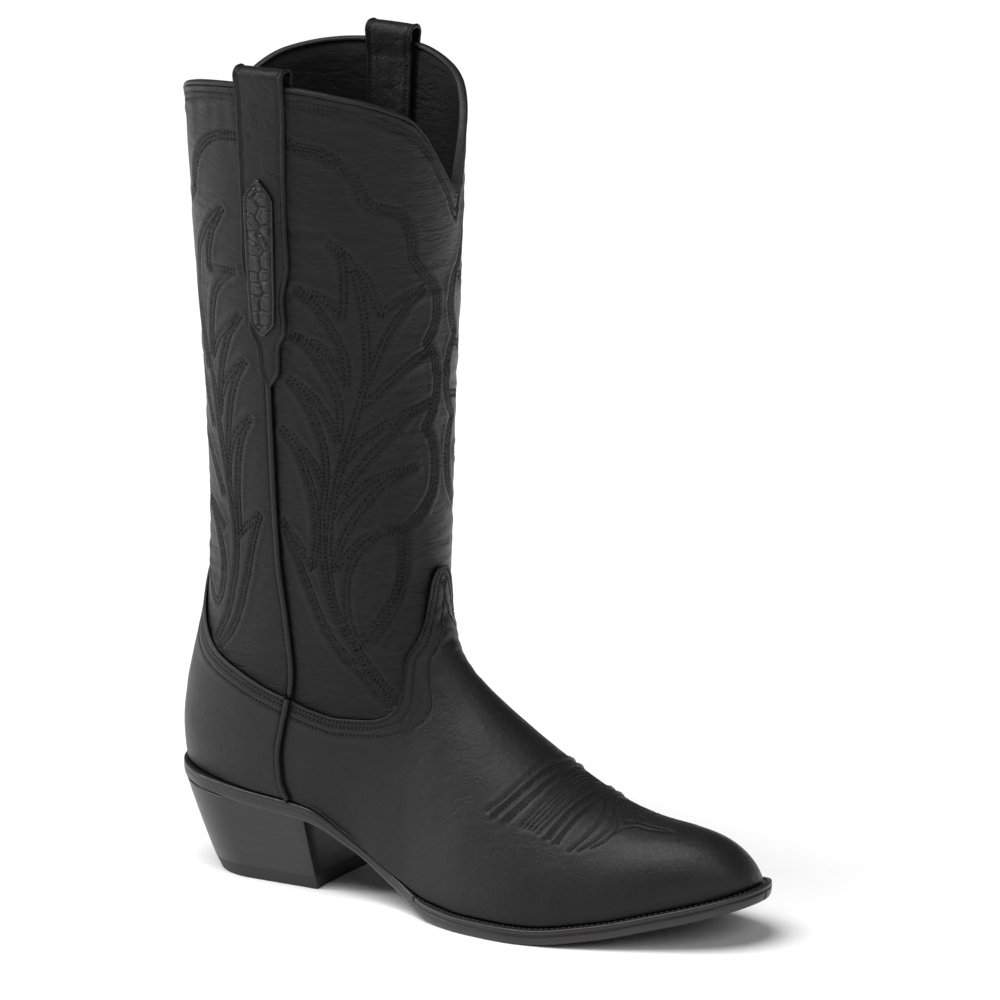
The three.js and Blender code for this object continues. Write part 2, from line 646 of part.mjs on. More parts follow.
function bottomPieces() {
  const ledge = (x) => soleLedge(x);
  const shankFrom = -18;
  const shankTo = 84;
  const shankSections = range(22).map((t) => {
    const x = lerp(shankFrom, shankTo, t);
    const z = feather(x);
    const half = 6.5;
    const crown = [[-half, 0], [0, 0.25], [half, 0]];
    const top = crown.map(([y, rise]) => new THREE.Vector3(x, y, z - 1.55 + rise));
    const under = crown.map(([y, rise]) => new THREE.Vector3(x, y, z - 2.75 + rise));
    return [...top, ...under.reverse()];
  });
  return [
    mesh('insole', bottomPlate(HEEL_BACK, TOE_TIP, -6.8, 1.5, -0.95, 46), BARE_LEATHER),
    mesh('sock_liner', bottomPlate(-46, 246, -7.4, 2.8, 1.5 + GAP, 46), LINING_LEATHER),
    mesh('welt', edgeStrip(WELT_START, 'toe', -3.2, ledge, WELT_TOP, WELT_BOTTOM, 56), SOLE_LEATHER),
    mesh('heel_rand', edgeStrip(WELT_START - 0.8, 'heel', -3.2, ledge, WELT_TOP, WELT_BOTTOM, 44), SOLE_LEATHER),
    mesh('cork_filler', bottomPlate(90, 240, -5, -1.35, WELT_BOTTOM, 26), CORK),
    mesh('steel_shank', loft(shankSections), STEEL),
    outsole(),
    ...pegs(),
  ];
}

// ---------------------------------------------------------------- heel

// Plan of the heel at a share of its height: round at the back, straight across the breast.
function heelOutline(share, heightAt) {
  const back = lerp(-30.6, -48, share ** 0.9);
  const breast = lerp(HEEL_BREAST_BOTTOM, HEEL_BREAST_TOP, share);
  const halfWidth = lerp(26, 34.6, share ** 0.9);
  const widest = back + halfWidth * 0.98;
  const round = range(18).map((t) => {
    const angle = radians(lerp(-90, 90, t));
    return [widest - (widest - back) * Math.cos(angle), halfWidth * Math.sin(angle)];
  });
  const plan = [[breast, -halfWidth * 0.965], ...round, [breast, halfWidth * 0.965]];
  return plan.map(([x, y]) => new THREE.Vector3(x, y, heightAt(x)));
}

const heelSeat = (x) => feather(x) + SOLE_BOTTOM - GAP;
const stackLevel = (share) => (x) => lerp(CAP_HEIGHT + GAP, heelSeat(x), share);

function heelPieces() {
  const heightShare = (z) => z / (feather(0) + SOLE_BOTTOM);
  const lifts = range(LIFT_COUNT - 1).map((_, i) => {
    const low = i / LIFT_COUNT;
    const high = (i + 1) / LIFT_COUNT;
    const gap = i < LIFT_COUNT - 1 ? GAP : 0;
    const lowShare = heightShare(stackLevel(low)(0));
    const highShare = heightShare(stackLevel(high)(0));
    const under = heelOutline(lowShare, stackLevel(low));
    const over = heelOutline(highShare, (x) => stackLevel(high)(x) - gap);
    return mesh(`heel_lift_${i + 1}`, loft([under, over]), SOLE_LEATHER);
  });
  const nailRadius = 1.2;
  const nailPlaces = range(6).map((t) => {
    const angle = radians(lerp(-105, 105, t));
    return [-4 - 20 * Math.cos(angle), 19.5 * Math.sin(angle)];
  });
  let cap = toManifold(loft([heelOutline(0, () => 0), heelOutline(0, () => CAP_HEIGHT)]));
  for (const [x, y] of nailPlaces) {
    cap = cap.subtract(toManifold(upright(nailRadius + GAP, -1, CAP_HEIGHT + 1, 8, x, y)));
  }
  const nails = nailPlaces.map(([x, y], i) => (
    mesh(`heel_nail_${i + 1}`, upright(nailRadius, 0.3, CAP_HEIGHT - 0.3, 8, x, y), BRASS)
  ));
  return [mesh('heel_cap', fromManifold(cap), RUBBER), ...lifts, ...nails];
}

// ---------------------------------------------------------------- the boot

const boot = new THREE.Group();
boot.name = 'cowboy_boot';
boot.add(...shaftPieces());
boot.add(toplineBead('topline_bead_front', 'front', FRONT_COLUMNS, topFront));
boot.add(toplineBead('topline_bead_back', 'back', BACK_COLUMNS, topBack));
boot.add(...footPieces());
boot.add(...bottomPieces());
boot.add(...heelPieces());
for (const [word, side] of [['outer', -1], ['inner', 1]]) {
  boot.add(sidePiping(`side_piping_${word}`, side, 93.5, 237, SHAFT_OUT, 1.3));
  boot.add(sidePiping(`foot_piping_${word}`, side, featherUnder(90) + 1.2, 91, OVERLAY_OUT, 1.4));
  boot.add(pullStrap(`pull_strap_${word}`, side));
  boot.add(strapShield(`strap_shield_${word}`, side));
}

export default boot;
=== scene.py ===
"""Looks for the cowboy boot: fine leather sheets, stitching, welt, stacked heel, materials, light and camera.

Lengths are in millimetres until a mesh is made. +X points to the toe, +Y to the inner side, +Z up,
and the origin is on the floor under the middle of the heel cap, as in the CAD frame.
"""
import math

import bmesh
import bpy
import numpy as np
from mathutils import Matrix, Vector, kdtree, noise


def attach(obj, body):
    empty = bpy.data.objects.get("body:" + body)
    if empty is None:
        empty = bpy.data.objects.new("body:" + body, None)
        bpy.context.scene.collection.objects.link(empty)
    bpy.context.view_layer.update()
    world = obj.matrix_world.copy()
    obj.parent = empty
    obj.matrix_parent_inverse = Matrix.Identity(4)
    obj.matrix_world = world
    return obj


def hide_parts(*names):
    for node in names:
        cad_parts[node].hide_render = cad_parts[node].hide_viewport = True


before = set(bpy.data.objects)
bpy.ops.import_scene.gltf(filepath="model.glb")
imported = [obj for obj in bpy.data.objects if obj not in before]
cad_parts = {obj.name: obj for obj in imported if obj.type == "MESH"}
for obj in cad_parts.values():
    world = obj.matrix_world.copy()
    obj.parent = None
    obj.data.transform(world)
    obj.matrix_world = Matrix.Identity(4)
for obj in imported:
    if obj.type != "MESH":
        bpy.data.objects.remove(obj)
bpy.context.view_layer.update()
MM = 0.001
SIDES = {"outer": -1, "inner": 1}

# ---------------------------------------------------------------- the boot's form, as in the CAD

SEAM_X = 22
STRAP_X, STRAP_POINT, LOOP_TOP = 24, 239, 384
OVERLAY_OUT, OVERLAY_IN = -0.9, 0.6
SHAFT_OUT, SHAFT_IN = 1.0, 2.5
LINING_OUT, LINING_IN = 2.85, 3.85
SEAM_LAP = 10
HEEL_BACK, TOE_TIP = -47, 238.5
MID_X, HALF_X = (HEEL_BACK + TOE_TIP) / 2, (TOE_TIP - HEEL_BACK) / 2
WELT_TOP, WELT_BOTTOM = -0.35, -2.6
SOLE_TOP, SOLE_BOTTOM = -2.95, -7.3
SOLE_LEDGE, HEEL_LEDGE = 4.5, 2
WELT_START = 92
CAP_HEIGHT = 6
LIFT_COUNT = 5
HALF_SPAN = 89.7
SHAFT_PITCH, FOOT_PITCH = 2.0, 1.8  # stitch lengths
SEAM_DROPS = (1.5, 3.6, 7.2)  # stitch rows below the edges of the vamp and the counter
RIM_DROPS = (3.6, 6.0)  # stitch rows below the shaft's top edge
BORDER_GAPS = (-1.7, 0, 1.7)  # three rows along each stroke of the scalloped border
LEAF_GAPS = (-1.15, 1.15)  # two rows along each stroke of the leaves
SHAFT_STITCH = (1.3, 0.24, 0.2)  # length, radius and slant of a stitch
FOOT_STITCH = (1.3, 0.26)
PANEL_RADIUS, FOOT_RADIUS = 52, 45  # mean radii that turn degrees round the leg into millimetres
SHIELD_LOW, SHIELD_HIGH = 262, 334
SHIELD_LIFT = 0.85  # from the leg's face to the back of the shield
STRAP_HALF_THICKNESS = 0.75
HEEL_BACKS, HEEL_BREASTS, HEEL_HALF_WIDTHS = (-30.6, -47.6), (31.5, 29), (26, 34.6)  # floor, sole
HEEL_SIDE = 0.965  # half width of the heel at its breast, as a share of its widest

WORLD_LIGHT, SKY_LIGHT, SKY_SPREAD = 0.13, 3.0, 46
LEFT_LIGHT, RIGHT_LIGHT = 26, 16  # watts
CAMERA_TURN, CAMERA_TILT, CAMERA_DISTANCE, CAMERA_LENS = 30.6, 15.2, 3.95, 320
CAMERA_TARGET, CAMERA_SHIFT = (0.1007, 0, 0.18), (0.0099, 0.0054)
FLOOR_HALF, FLOOR_DROP = 6.0, 0.0002


def lerp(a, b, t):
    return a + (b - a) * t


def curve(points):
    """A smooth curve through (x, y) points that never overshoots them, for numbers or arrays."""
    xs, ys = (np.array(column, float) for column in zip(*points))
    step = np.diff(xs)
    slope = np.diff(ys) / step
    tangent = np.zeros(len(xs))
    tangent[0], tangent[-1] = slope[0], slope[-1]
    for i in range(1, len(xs) - 1):
        if slope[i - 1] * slope[i] > 0:
            before, after = 2 * step[i] + step[i - 1], step[i] + 2 * step[i - 1]
            tangent[i] = (before + after) / (before / slope[i - 1] + after / slope[i])

    def at(x):
        x = np.asarray(x, float)
        i = np.clip(np.searchsorted(xs, x, side="right") - 1, 0, len(xs) - 2)
        t = (x - xs[i]) / step[i]
        inside = ((1 + 2 * t) * (1 - t) ** 2 * ys[i] + t * (1 - t) ** 2 * step[i] * tangent[i]
                  + t * t * (3 - 2 * t) * ys[i + 1] + t * t * (t - 1) * step[i] * tangent[i + 1])
        low = ys[0] + tangent[0] * (x - xs[0])
        high = ys[-1] + tangent[-1] * (x - xs[-1])
        return np.where(x < xs[0], low, np.where(x > xs[-1], high, inside))

    return at


def outline_angle(x):
    return np.arccos(np.clip((MID_X - np.asarray(x, float)) / HALF_X, -1, 1))


def outline_x(angle):
    return MID_X - HALF_X * np.cos(angle)


def plan_curve(points):
    in_angle = curve([(float(outline_angle(x)), y) for x, y in points])
    return lambda x: in_angle(outline_angle(x))


def mirrored(points):
    """A curve of the spread that is alike on both sides of the boot."""
    height = curve(points)
    return lambda spread: height(np.abs(spread))


feather = curve([
    (-50, 50), (0, 44.6), (31, 41.3), (50, 31), (75, 16.8), (98, 8.8), (122, 7.3), (150, 7.3),
    (180, 11), (210, 18), (235, 24.6), (252, 29.5)])
outer_edge = plan_curve([
    (-47, 0), (-44, -14), (-36, -24), (-22, -31.5), (0, -34), (31, -33.5), (60, -32), (80, -34),
    (100, -39.5), (120, -44.5), (140, -46), (160, -43), (180, -36), (200, -27), (215, -19.5),
    (226, -12.5), (233, -5.5), (237, 2), (238.5, 9.5)])
inner_edge = plan_curve([
    (-47, 0), (-44, 14), (-36, 24), (-22, 31.5), (0, 34), (31, 32), (60, 28), (80, 28.5),
    (100, 32.5), (120, 37), (140, 40.5), (160, 42), (180, 40), (200, 36), (215, 32.5),
    (226, 28), (233, 23), (237, 16.5), (238.5, 9.5)])
ridge = curve([
    (40, 150), (60, 136), (84, 117), (103, 99.5), (131, 78.5), (158, 61), (175, 53.5),
    (190, 50.2), (205, 48.6), (216, 46.6), (225, 43.2), (232, 38.2), (236.5, 32.5), (238.5, 28)])
leg_back = curve([
    (45, -47), (66, -49), (82, -47.3), (100, -43), (125, -36.8), (154, -34), (206, -33),
    (250, -34.5), (300, -37.5), (376, -41.8)])
leg_front = curve([(45, 76), (66, 78), (82, 80), (125, 82), (206, 82.5), (300, 85), (376, 87.5)])
leg_half_width = curve([
    (45, 34.1), (66, 35.8), (100, 37), (125, 38.5), (154, 41.5), (206, 47.5), (250, 51.5),
    (300, 55), (376, 58.5)])
vamp_seam = mirrored([
    (0, 153), (4, 152), (8, 146), (10, 138), (13, 128), (17, 120.5), (21.5, 114), (23.5, 105),
    (25.5, 94), (29, 88), (36, 84.8), (52, 84.5), (67, 86.6), (90, 91)])
counter_seam = mirrored([
    (0, 146), (5, 144), (10, 138), (15, 130), (20, 123), (25, 117), (30, 112), (38, 106), (55, 99.5),
    (72, 94.5), (90, 91)])
top_front = curve([
    (-90, 374.5), (-73, 374), (-45, 369), (-30, 363.5), (-22.5, 359.5), (-15, 351.5), (-8.2, 341.4), (0, 330),
    (9, 320), (12, 328), (15, 335), (20, 344), (28, 354), (40, 364), (52, 369), (75, 374), (90, 374.5)])
top_back = mirrored([(0, 322), (5, 335), (10, 344), (20, 355), (42, 368), (68, 373), (90, 374.5)])
TOP_DIP = {"front": 9, "back": 0}  # spread at which the top edge dips
# Angle of the side seams from the front, by height: nearly straight on the leg, drawn back over the heel.
side_seam = curve([
    (42.4, 90), (52, 96), (62, 96.5), (80, 91.5), (92, 87), (104, 85), (128, 87.5), (158, 90.5),
    (240, 89), (376, 89)])


def outer_form(p):
    """Signed size of the boot's outer form at points: below 0 inside, above 0 outside."""
    x, y, z = p[..., 0], p[..., 1], p[..., 2]
    back, front, half_width = leg_back(z), leg_front(z), leg_half_width(z)
    middle = lerp(back, front, 0.47)
    reach = np.where(x < middle, middle - back, front - middle)
    around = ((np.abs(x - middle) / reach) ** 2.15 + (np.abs(y) / half_width) ** 2.15) ** (1 / 2.15)
    leg = (around - 1) * np.minimum(reach, half_width)

    station = np.clip(x, HEEL_BACK + 1, TOE_TIP - 0.1)
    outer, inner = outer_edge(station), inner_edge(station)
    half = np.maximum((inner - outer) / 2, 0.3)
    base = feather(x)
    height = np.maximum(ridge(station) - base, 0.5)
    rise = np.maximum(z - base, 0) / height
    offset = np.abs(y - (inner + outer) / 2 * (1 - 0.55 * rise))
    share = np.clip((x - 60) / 190, 0, 1)
    across, upward = lerp(1.75, 2.2, share), lerp(1.7, 2.2, share)
    dome = ((offset / half) ** across + rise ** upward) ** (2 / (across + upward))
    behind = np.maximum(70 - x, 0)
    fade = np.where(behind < 16, behind ** 2 / 32, behind - 8)
    past = np.maximum(x - TOE_TIP + 0.1, 0) + 0.3 * fade
    foot = (dome - 1) * np.minimum(half, height) + past

    blend = 9
    share = np.clip(0.5 + (foot - leg) / (2 * blend), 0, 1)
    return lerp(foot, leg, share) - blend * share * (1 - share)


def unit(v):
    return v / np.maximum(np.linalg.norm(v, axis=-1, keepdims=True), 1e-9)


def outer_normal(p):
    steps = np.eye(3) * 0.6
    return unit(np.stack([outer_form(p + s) - outer_form(p - s) for s in steps], -1))


def meet_surface(start, direction):
    """The outer face met from points along directions, forward from inside and back from outside."""
    start, direction = np.broadcast_arrays(start, direction)
    inside = outer_form(start) < 0
    stride = np.where(inside, 2.0, -2.0)
    near, far = np.zeros(inside.shape), stride.copy()
    going = np.ones(inside.shape, bool)
    for _ in range(130):
        crossed = (outer_form(start + direction * far[..., None]) < 0) != inside
        going &= ~crossed
        if not going.any():
            break
        near = np.where(going, far, near)
        far = np.where(going, far + stride, far)
    for _ in range(22):
        middle = (near + far) / 2
        same = (outer_form(start + direction * middle[..., None]) < 0) == inside
        near, far = np.where(same, middle, near), np.where(same, far, middle)
    return start + direction * ((near + far) / 2)[..., None]


def leg_points(angle, z):
    """Outer face of the leg at angles in degrees (0 at the front, +90 at the inner side) and heights."""
    angle, z = np.broadcast_arrays(np.radians(np.asarray(angle, float)), np.asarray(z, float))
    start = np.stack([np.full(z.shape, SEAM_X, float), np.zeros(z.shape), z], -1)
    return meet_surface(start, np.stack([np.cos(angle), np.sin(angle), np.zeros(z.shape)], -1))


def panel_points(facing, spread, z):
    """Outer face of the leg at spreads in degrees from the middle of its front or its back."""
    return leg_points(spread if facing == "front" else 180 + spread, z)


def edge_points(side, angle, ledge, above):
    """Points of the plan outline pushed outward by a ledge, at a height above the feather line."""
    edge = outer_edge if side < 0 else inner_edge

    def at(a):
        return np.stack([outline_x(a), edge(outline_x(a))], -1)

    angle = np.asarray(angle, float)
    step = 0.01
    run = at(np.minimum(angle + step, np.pi)) - at(np.maximum(angle - step, 0))
    outward = unit(np.stack([-run[..., 1], run[..., 0]], -1) * side)
    outward = np.where((angle < step)[..., None], [-1.0, 0.0], outward)
    outward = np.where((angle > np.pi - step)[..., None], [1.0, 0.0], outward)
    plan = at(angle) + outward * np.asarray(ledge)[..., None]
    return np.concatenate([plan, (feather(plan[..., 0]) + above)[..., None]], -1)


def outline_run():
    """Two curves between the outline's angle and the share of its length from the heel to the toe."""
    angle = np.linspace(0, np.pi, 241)
    x = outline_x(angle)
    length = np.concatenate([[0], np.cumsum(np.hypot(np.diff(x), np.diff(outer_edge(x))))])
    share = length / length[-1]
    return curve(list(zip(share, angle))), curve(list(zip(angle, share)))


angle_at, share_at = outline_run()

# ---------------------------------------------------------------- grids of points


def lateral_seam(z, facing):
    """Half-span in degrees of a leg panel at a height: the front and back panels meet at the side seam."""
    seam = side_seam(z)
    return (seam if facing == "front" else 180 - seam) - 0.3


def leg_grid(facing, spreads, z):
    """Leg points for spreads from -1 to 1 round a panel and heights (one row per spread)."""
    return panel_points(facing, spreads[:, None] * lateral_seam(z, facing), z)


def feather_under(facing, spreads):
    z = np.full(len(spreads), 45.0)
    for _ in range(6):
        points = leg_grid(facing, spreads, z[:, None])[:, 0]
        z = feather(points[:, 0])
    return z


RIDGE_GUIDE = np.array([
    (TOE_TIP, 9.5, 27), (232, 9, 38.2), (205, 6.5, 48.6), (175, 3, 53.5), (158, 2, 61), (131, 0, 78.5),
    (103, 0, 99.5), (86, 0, 122), (82, 0, 153)], float)


def run_length(line):
    """Length along a line from its start to each of its points."""
    return np.concatenate([[0], np.cumsum(np.linalg.norm(np.diff(line, axis=0), axis=1))])


def at_lengths(lengths, run, line):
    """Values of a line at lengths along it."""
    return np.stack([np.interp(lengths, run, column) for column in line.T], -1)


def resample(line, samples):
    run = run_length(line)
    return at_lengths(np.linspace(0, run[-1], samples), run, line)


def spline(points, samples):
    """Points along a smooth curve through control points, evenly by length."""
    points = np.asarray(points, float)
    if len(points) == 2:
        return lerp(points[0], points[1], np.linspace(0, 1, samples)[:, None])
    chord = np.concatenate([[0], np.cumsum(np.linalg.norm(np.diff(points, axis=0), axis=1) ** 0.75)])
    fine = np.linspace(0, chord[-1], samples * 4)
    step = np.diff(chord)[:, None]
    slope = np.diff(points, axis=0) / step
    inner = (slope[:-1] * step[1:] + slope[1:] * step[:-1]) / (step[1:] + step[:-1])
    tangent = np.vstack([1.5 * slope[0] - 0.5 * inner[0], inner, 1.5 * slope[-1] - 0.5 * inner[-1]])
    i = np.clip(np.searchsorted(chord, fine, side="right") - 1, 0, len(points) - 2)
    t = ((fine - chord[i]) / step[i, 0])[:, None]
    h = step[i]
    line = ((1 + 2 * t) * (1 - t) ** 2 * points[i] + t * (1 - t) ** 2 * h * tangent[i]
            + t * t * (3 - 2 * t) * points[i + 1] + t * t * (t - 1) * h * tangent[i + 1])
    return resample(line, samples)


def foot_grid(spreads, rows):
    """The forepart from the feather line up to the vamp seam. Spreads run -1 to 1 round the toe."""
    above = 0.2
    side = np.where(spreads < 0, -1, 1)
    s = 1 - np.abs(spreads)
    share = lerp(share_at(float(outline_angle(SEAM_X + 0.2))), 1, s)
    outline = angle_at(share)
    angle = spreads * 90
    low, out = (np.where((side < 0)[:, None], edge_points(-1, outline, ledge, above),
                         edge_points(1, outline, ledge, above)) for ledge in (0, 1))
    outward = (out - low) * [1, 1, 0]
    high = leg_grid("front", spreads, vamp_seam(angle)[:, None])[:, 0]
    toe, tongue = edge_points(1, np.pi, 0, above), leg_points(0.0, float(vamp_seam(0)))
    guide = spline(RIDGE_GUIDE, rows)
    v = np.linspace(0, 1, rows)
    straight = lerp(toe, tongue, v[:, None])
    seam_z = lerp(feather(SEAM_X) + above, vamp_seam(90), v)
    seam = leg_points(side_seam(seam_z) - 0.3, seam_z)
    seam_bow = seam - lerp(seam[0], seam[-1], v[:, None])
    forward = np.stack([np.cos(np.radians(angle)), np.sin(np.radians(angle)), 0 * angle], -1)
    grid_v, grid_s = v[None, :, None], s[:, None, None]
    bow = np.stack([np.broadcast_to(seam_bow[:, i], (len(s), rows)) for i in range(3)], -1)
    bow[..., 1] *= side[:, None]
    start = lerp(low[:, None], high[:, None], grid_v)
    start = start + (guide - straight)[None] * grid_s + bow * (1 - grid_s) ** 3
    direction = lerp(outward[:, None], forward[:, None], grid_v)
    direction = direction + np.array([0, 0, 1.0]) * 3 * grid_v * (1 - grid_v) * (0.3 + grid_s)
    points = meet_surface(start, unit(direction))
    points[:, 0], points[:, -1] = low, high
    return points


def with_border(grid):
    """The grid with two extra lines just inside each edge, so that the edge can be rounded over."""
    def beside(edge, following, inset):
        gap = np.linalg.norm(following - edge, axis=-1, keepdims=True)
        return (edge + (following - edge) * np.minimum(inset / np.maximum(gap, 1e-6), 0.9))[None]

    for axis in (0, 1):
        lines = np.moveaxis(grid, axis, 0)
        first = [beside(lines[0], lines[1], inset) for inset in (0.25, 0.8)]
        last = [beside(lines[-1], lines[-2], inset) for inset in (0.8, 0.25)]
        grid = np.moveaxis(np.concatenate([lines[:1], *first, lines[1:-1], *last, lines[-1:]]), 0, axis)
    return grid


# ---------------------------------------------------------------- meshes

def new_piece(name, points, faces, material, replaces=(), relief=None):
    """A smooth-shaded mesh of the boot, in metres, riding on the root body."""
    mesh = bpy.data.meshes.new(name)
    mesh.from_pydata((np.asarray(points) * MM).tolist(), [], faces)
    body = bmesh.new()
    body.from_mesh(mesh)
    bmesh.ops.recalc_face_normals(body, faces=body.faces)
    body.to_mesh(mesh)
    body.free()
    mesh.materials.append(material)
    mesh.polygons.foreach_set("use_smooth", np.ones(len(mesh.polygons), bool))
    # The relief attribute carries painted shade: the leather materials multiply it into their colour.
    if relief is not None:
        layer = mesh.attributes.new("relief", "FLOAT", "POINT")
        layer.data.foreach_set("value", np.asarray(relief, np.float32))
    mesh.update()
    piece = bpy.data.objects.new(name, mesh)
    bpy.context.scene.collection.objects.link(piece)
    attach(piece, "root")
    if replaces:
        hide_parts(*replaces)
    return piece


def grid_faces(columns, rows, first=0, flip=False):
    a = (np.arange(columns - 1)[:, None] * rows + np.arange(rows - 1)[None]).ravel() + first
    quads = np.stack([a, a + rows, a + rows + 1, a + 1], -1)
    return quads[:, ::-1] if flip else quads


def coarse(count):
    """Indices of every fourth line of a grid, with its first and last."""
    return np.unique(np.concatenate([[0], np.arange(2, count - 2, 4), [count - 1]]))


def bridge(fine, rough, rough_places):
    """Faces between a fine edge and a rough edge that share the rough edge's places."""
    faces = []
    for i, (low, high) in enumerate(zip(rough_places, rough_places[1:])):
        faces.append([int(k) for k in fine[low:high + 1]] + [int(rough[i + 1]), int(rough[i])])
    return faces


def sheet_mesh(name, grid, depth_out, depth_in, material, replaces=(), relief=None, flat_base=True):
    """A leather sheet with rounded edges between two depths under the outer form. Its inside is coarser."""
    grid = with_border(grid)
    columns, rows = grid.shape[:2]
    normal = outer_normal(grid)
    if flat_base:
        normal[:, 0, 2] = 0
        normal = unit(normal)
    height, painted_shading = relief(grid) if relief else (np.zeros((columns, rows)),) * 2
    thickness = depth_in - depth_out
    edge = np.zeros((columns, rows))
    edge[1, :] = edge[-2, :] = edge[:, 1] = edge[:, -2] = 0.16 * thickness
    edge[0, :] = edge[-1, :] = edge[:, 0] = edge[:, -1] = 0.5 * thickness
    deep = depth_in - edge * 0.9
    outside = grid - normal * np.minimum(depth_out + edge - height, deep - 0.12)[..., None]
    keep_c, keep_r = coarse(columns), coarse(rows)
    inside = (grid - normal * deep[..., None])[keep_c][:, keep_r]
    points = np.concatenate([outside.reshape(-1, 3), inside.reshape(-1, 3)])
    count, few = columns * rows, len(keep_r)
    fine = np.arange(count).reshape(columns, rows)
    rough = count + np.arange(len(keep_c) * few).reshape(len(keep_c), few)
    faces = grid_faces(columns, rows).tolist() + grid_faces(len(keep_c), few, count, True).tolist()
    walls = [face[::-1] for face in bridge(fine[:, 0], rough[:, 0], keep_c)]
    walls += bridge(fine[:, -1], rough[:, -1], keep_c)
    walls += bridge(fine[0], rough[0], keep_r)
    walls += [face[::-1] for face in bridge(fine[-1], rough[-1], keep_r)]
    a, b, c = (points[faces[(columns // 2) * (rows - 1) + rows // 2][i]] for i in range(3))
    if np.dot(np.cross(b - a, c - a), normal[columns // 2, rows // 2]) < 0:
        faces = [face[::-1] for face in faces]
        walls = [face[::-1] for face in walls]
    # Painted shade: the sunken stitch lines, needle holes and seam gutters, and the rounded sheet edges,
    # darken the colour through the relief attribute.
    shade = np.concatenate([(painted_shading - edge * 0.3).ravel(), np.zeros(len(rough.ravel()))])
    return new_piece(name, points, faces + walls, material, replaces, shade)


def loft_mesh(name, sections, material, replaces=()):
    """A solid through rows of closed sections (rows, points per section, 3), with fan caps at its ends."""
    sections = np.asarray(sections, float)
    count, size = sections.shape[:2]
    points = sections.reshape(-1, 3)
    i, j = np.meshgrid(np.arange(count - 1), np.arange(size), indexing="ij")
    a, b = i * size + j, i * size + (j + 1) % size
    faces = np.stack([a, b, b + size, a + size], -1).reshape(-1, 4).tolist()
    faces.append(list(range(size))[::-1])
    faces.append(list(range((count - 1) * size, count * size)))
    return new_piece(name, points, faces, material, replaces)


# ---------------------------------------------------------------- stitches

# A stitch's four rings along its length: rounded ends that sink into the leather.
RING_ALONG = np.array([-0.5, -0.3, 0.3, 0.5])
RING_RADIUS = np.array([0.5, 1.0, 1.0, 0.5])
RING_LIFT = np.array([-1.1, 0.3, 0.3, -1.1])


def stitch_mesh(name, rows, slot, pitch, length, radius, slant=0.0):
    """Thread stitches along rows, each row an (n, 3) path and its (n, 3) outward normals."""
    turn = np.linspace(0, 2 * np.pi, 5, endpoint=False)
    chunks = []
    for path, normals in rows:
        run = run_length(path)
        count = max(int(run[-1] / pitch), 1)
        centres = (np.arange(count) + 0.5) * run[-1] / count
        at = at_lengths(centres, run, path)
        up = unit(at_lengths(centres, run, normals))
        forward = unit(at_lengths(centres + 0.4, run, path) - at_lengths(centres - 0.4, run, path))
        side = unit(np.cross(up, forward))
        forward = unit(forward * math.cos(slant) + side * math.sin(slant))
        side = unit(np.cross(up, forward))
        centre = (at[:, None] + forward[:, None] * (RING_ALONG * length)[None, :, None]
                  + up[:, None] * (RING_LIFT * radius)[None, :, None])
        ring = (side[:, None, None] * np.cos(turn)[None, None, :, None]
                + up[:, None, None] * np.sin(turn)[None, None, :, None])
        chunks.append(centre[:, :, None] + ring * (RING_RADIUS * radius)[None, :, None, None])
    points = np.concatenate(chunks)
    stitches, rings, sides = points.shape[:3]
    base = (np.arange(stitches) * rings * sides)[:, None, None]
    k, j = np.meshgrid(np.arange(rings - 1), np.arange(sides), indexing="ij")
    a = base + (k * sides + j)[None]
    b = base + (k * sides + (j + 1) % sides)[None]
    faces = np.stack([a, b, b + sides, a + sides], -1).reshape(-1, 4).tolist()
    for start in base.ravel():
        faces.append(list(range(start + sides - 1, start - 1, -1)))
        end = start + (rings - 1) * sides
        faces.append(list(range(end, end + sides)))
    return new_piece(name, points.reshape(-1, 3), faces, THREAD)


def offset_line(line, distance):
    """A plane curve moved sideways."""
    run = np.gradient(line, axis=0)
    normal = unit(np.stack([-run[:, 1], run[:, 0]], -1))
    return line + normal * distance


def near_lines(lines, grid, reach):
    """Distance from each grid point to the nearest line point, up to a reach."""
    samples = np.concatenate(lines)
    tree = kdtree.KDTree(len(samples))
    for i, p in enumerate(samples):
        tree.insert(p, i)
    tree.balance()
    flat = grid.reshape(-1, 3)
    found = np.array([tree.find(p)[2] for p in flat])
    return np.minimum(found, reach).reshape(grid.shape[:-1])


def needle_holes(rows, pitch):
    """Where the thread of each row goes into the leather, at the ends of its stitches."""
    holes = []
    for path, _ in rows:
        run = run_length(path)
        ends = np.linspace(0, run[-1], max(int(run[-1] / pitch), 1) + 1)
        holes.append(at_lengths(ends, run, path))
    return holes


def seam_gutter(grid):
    """The sheet's face rolls in where it meets its neighbour at the side seams; the same dip is also painted
    as shade in the colour.
    """
    seam = np.minimum(np.abs(grid - grid[:1]).max(-1), np.abs(grid - grid[-1:]).max(-1))
    return 1.1 * np.exp(-(seam / 1.7) ** 2)


def ripple(grid, scale, seed):
    """Smooth noise from -1 to 1 at grid points, with a size in mm along each axis."""
    flat = (grid / np.asarray(scale, float)).reshape(-1, 3) + seed * 7.31
    return np.array([noise.noise(p) for p in flat.tolist()]).reshape(grid.shape[:-1])


# ---------------------------------------------------------------- materials

def node_material(name):
    material = bpy.data.materials.new(name)
    material.use_nodes = True
    tree = material.node_tree
    shader = tree.nodes["Principled BSDF"]
    place = tree.nodes.new("ShaderNodeTexCoord").outputs["Object"]
    return material, tree, shader, place


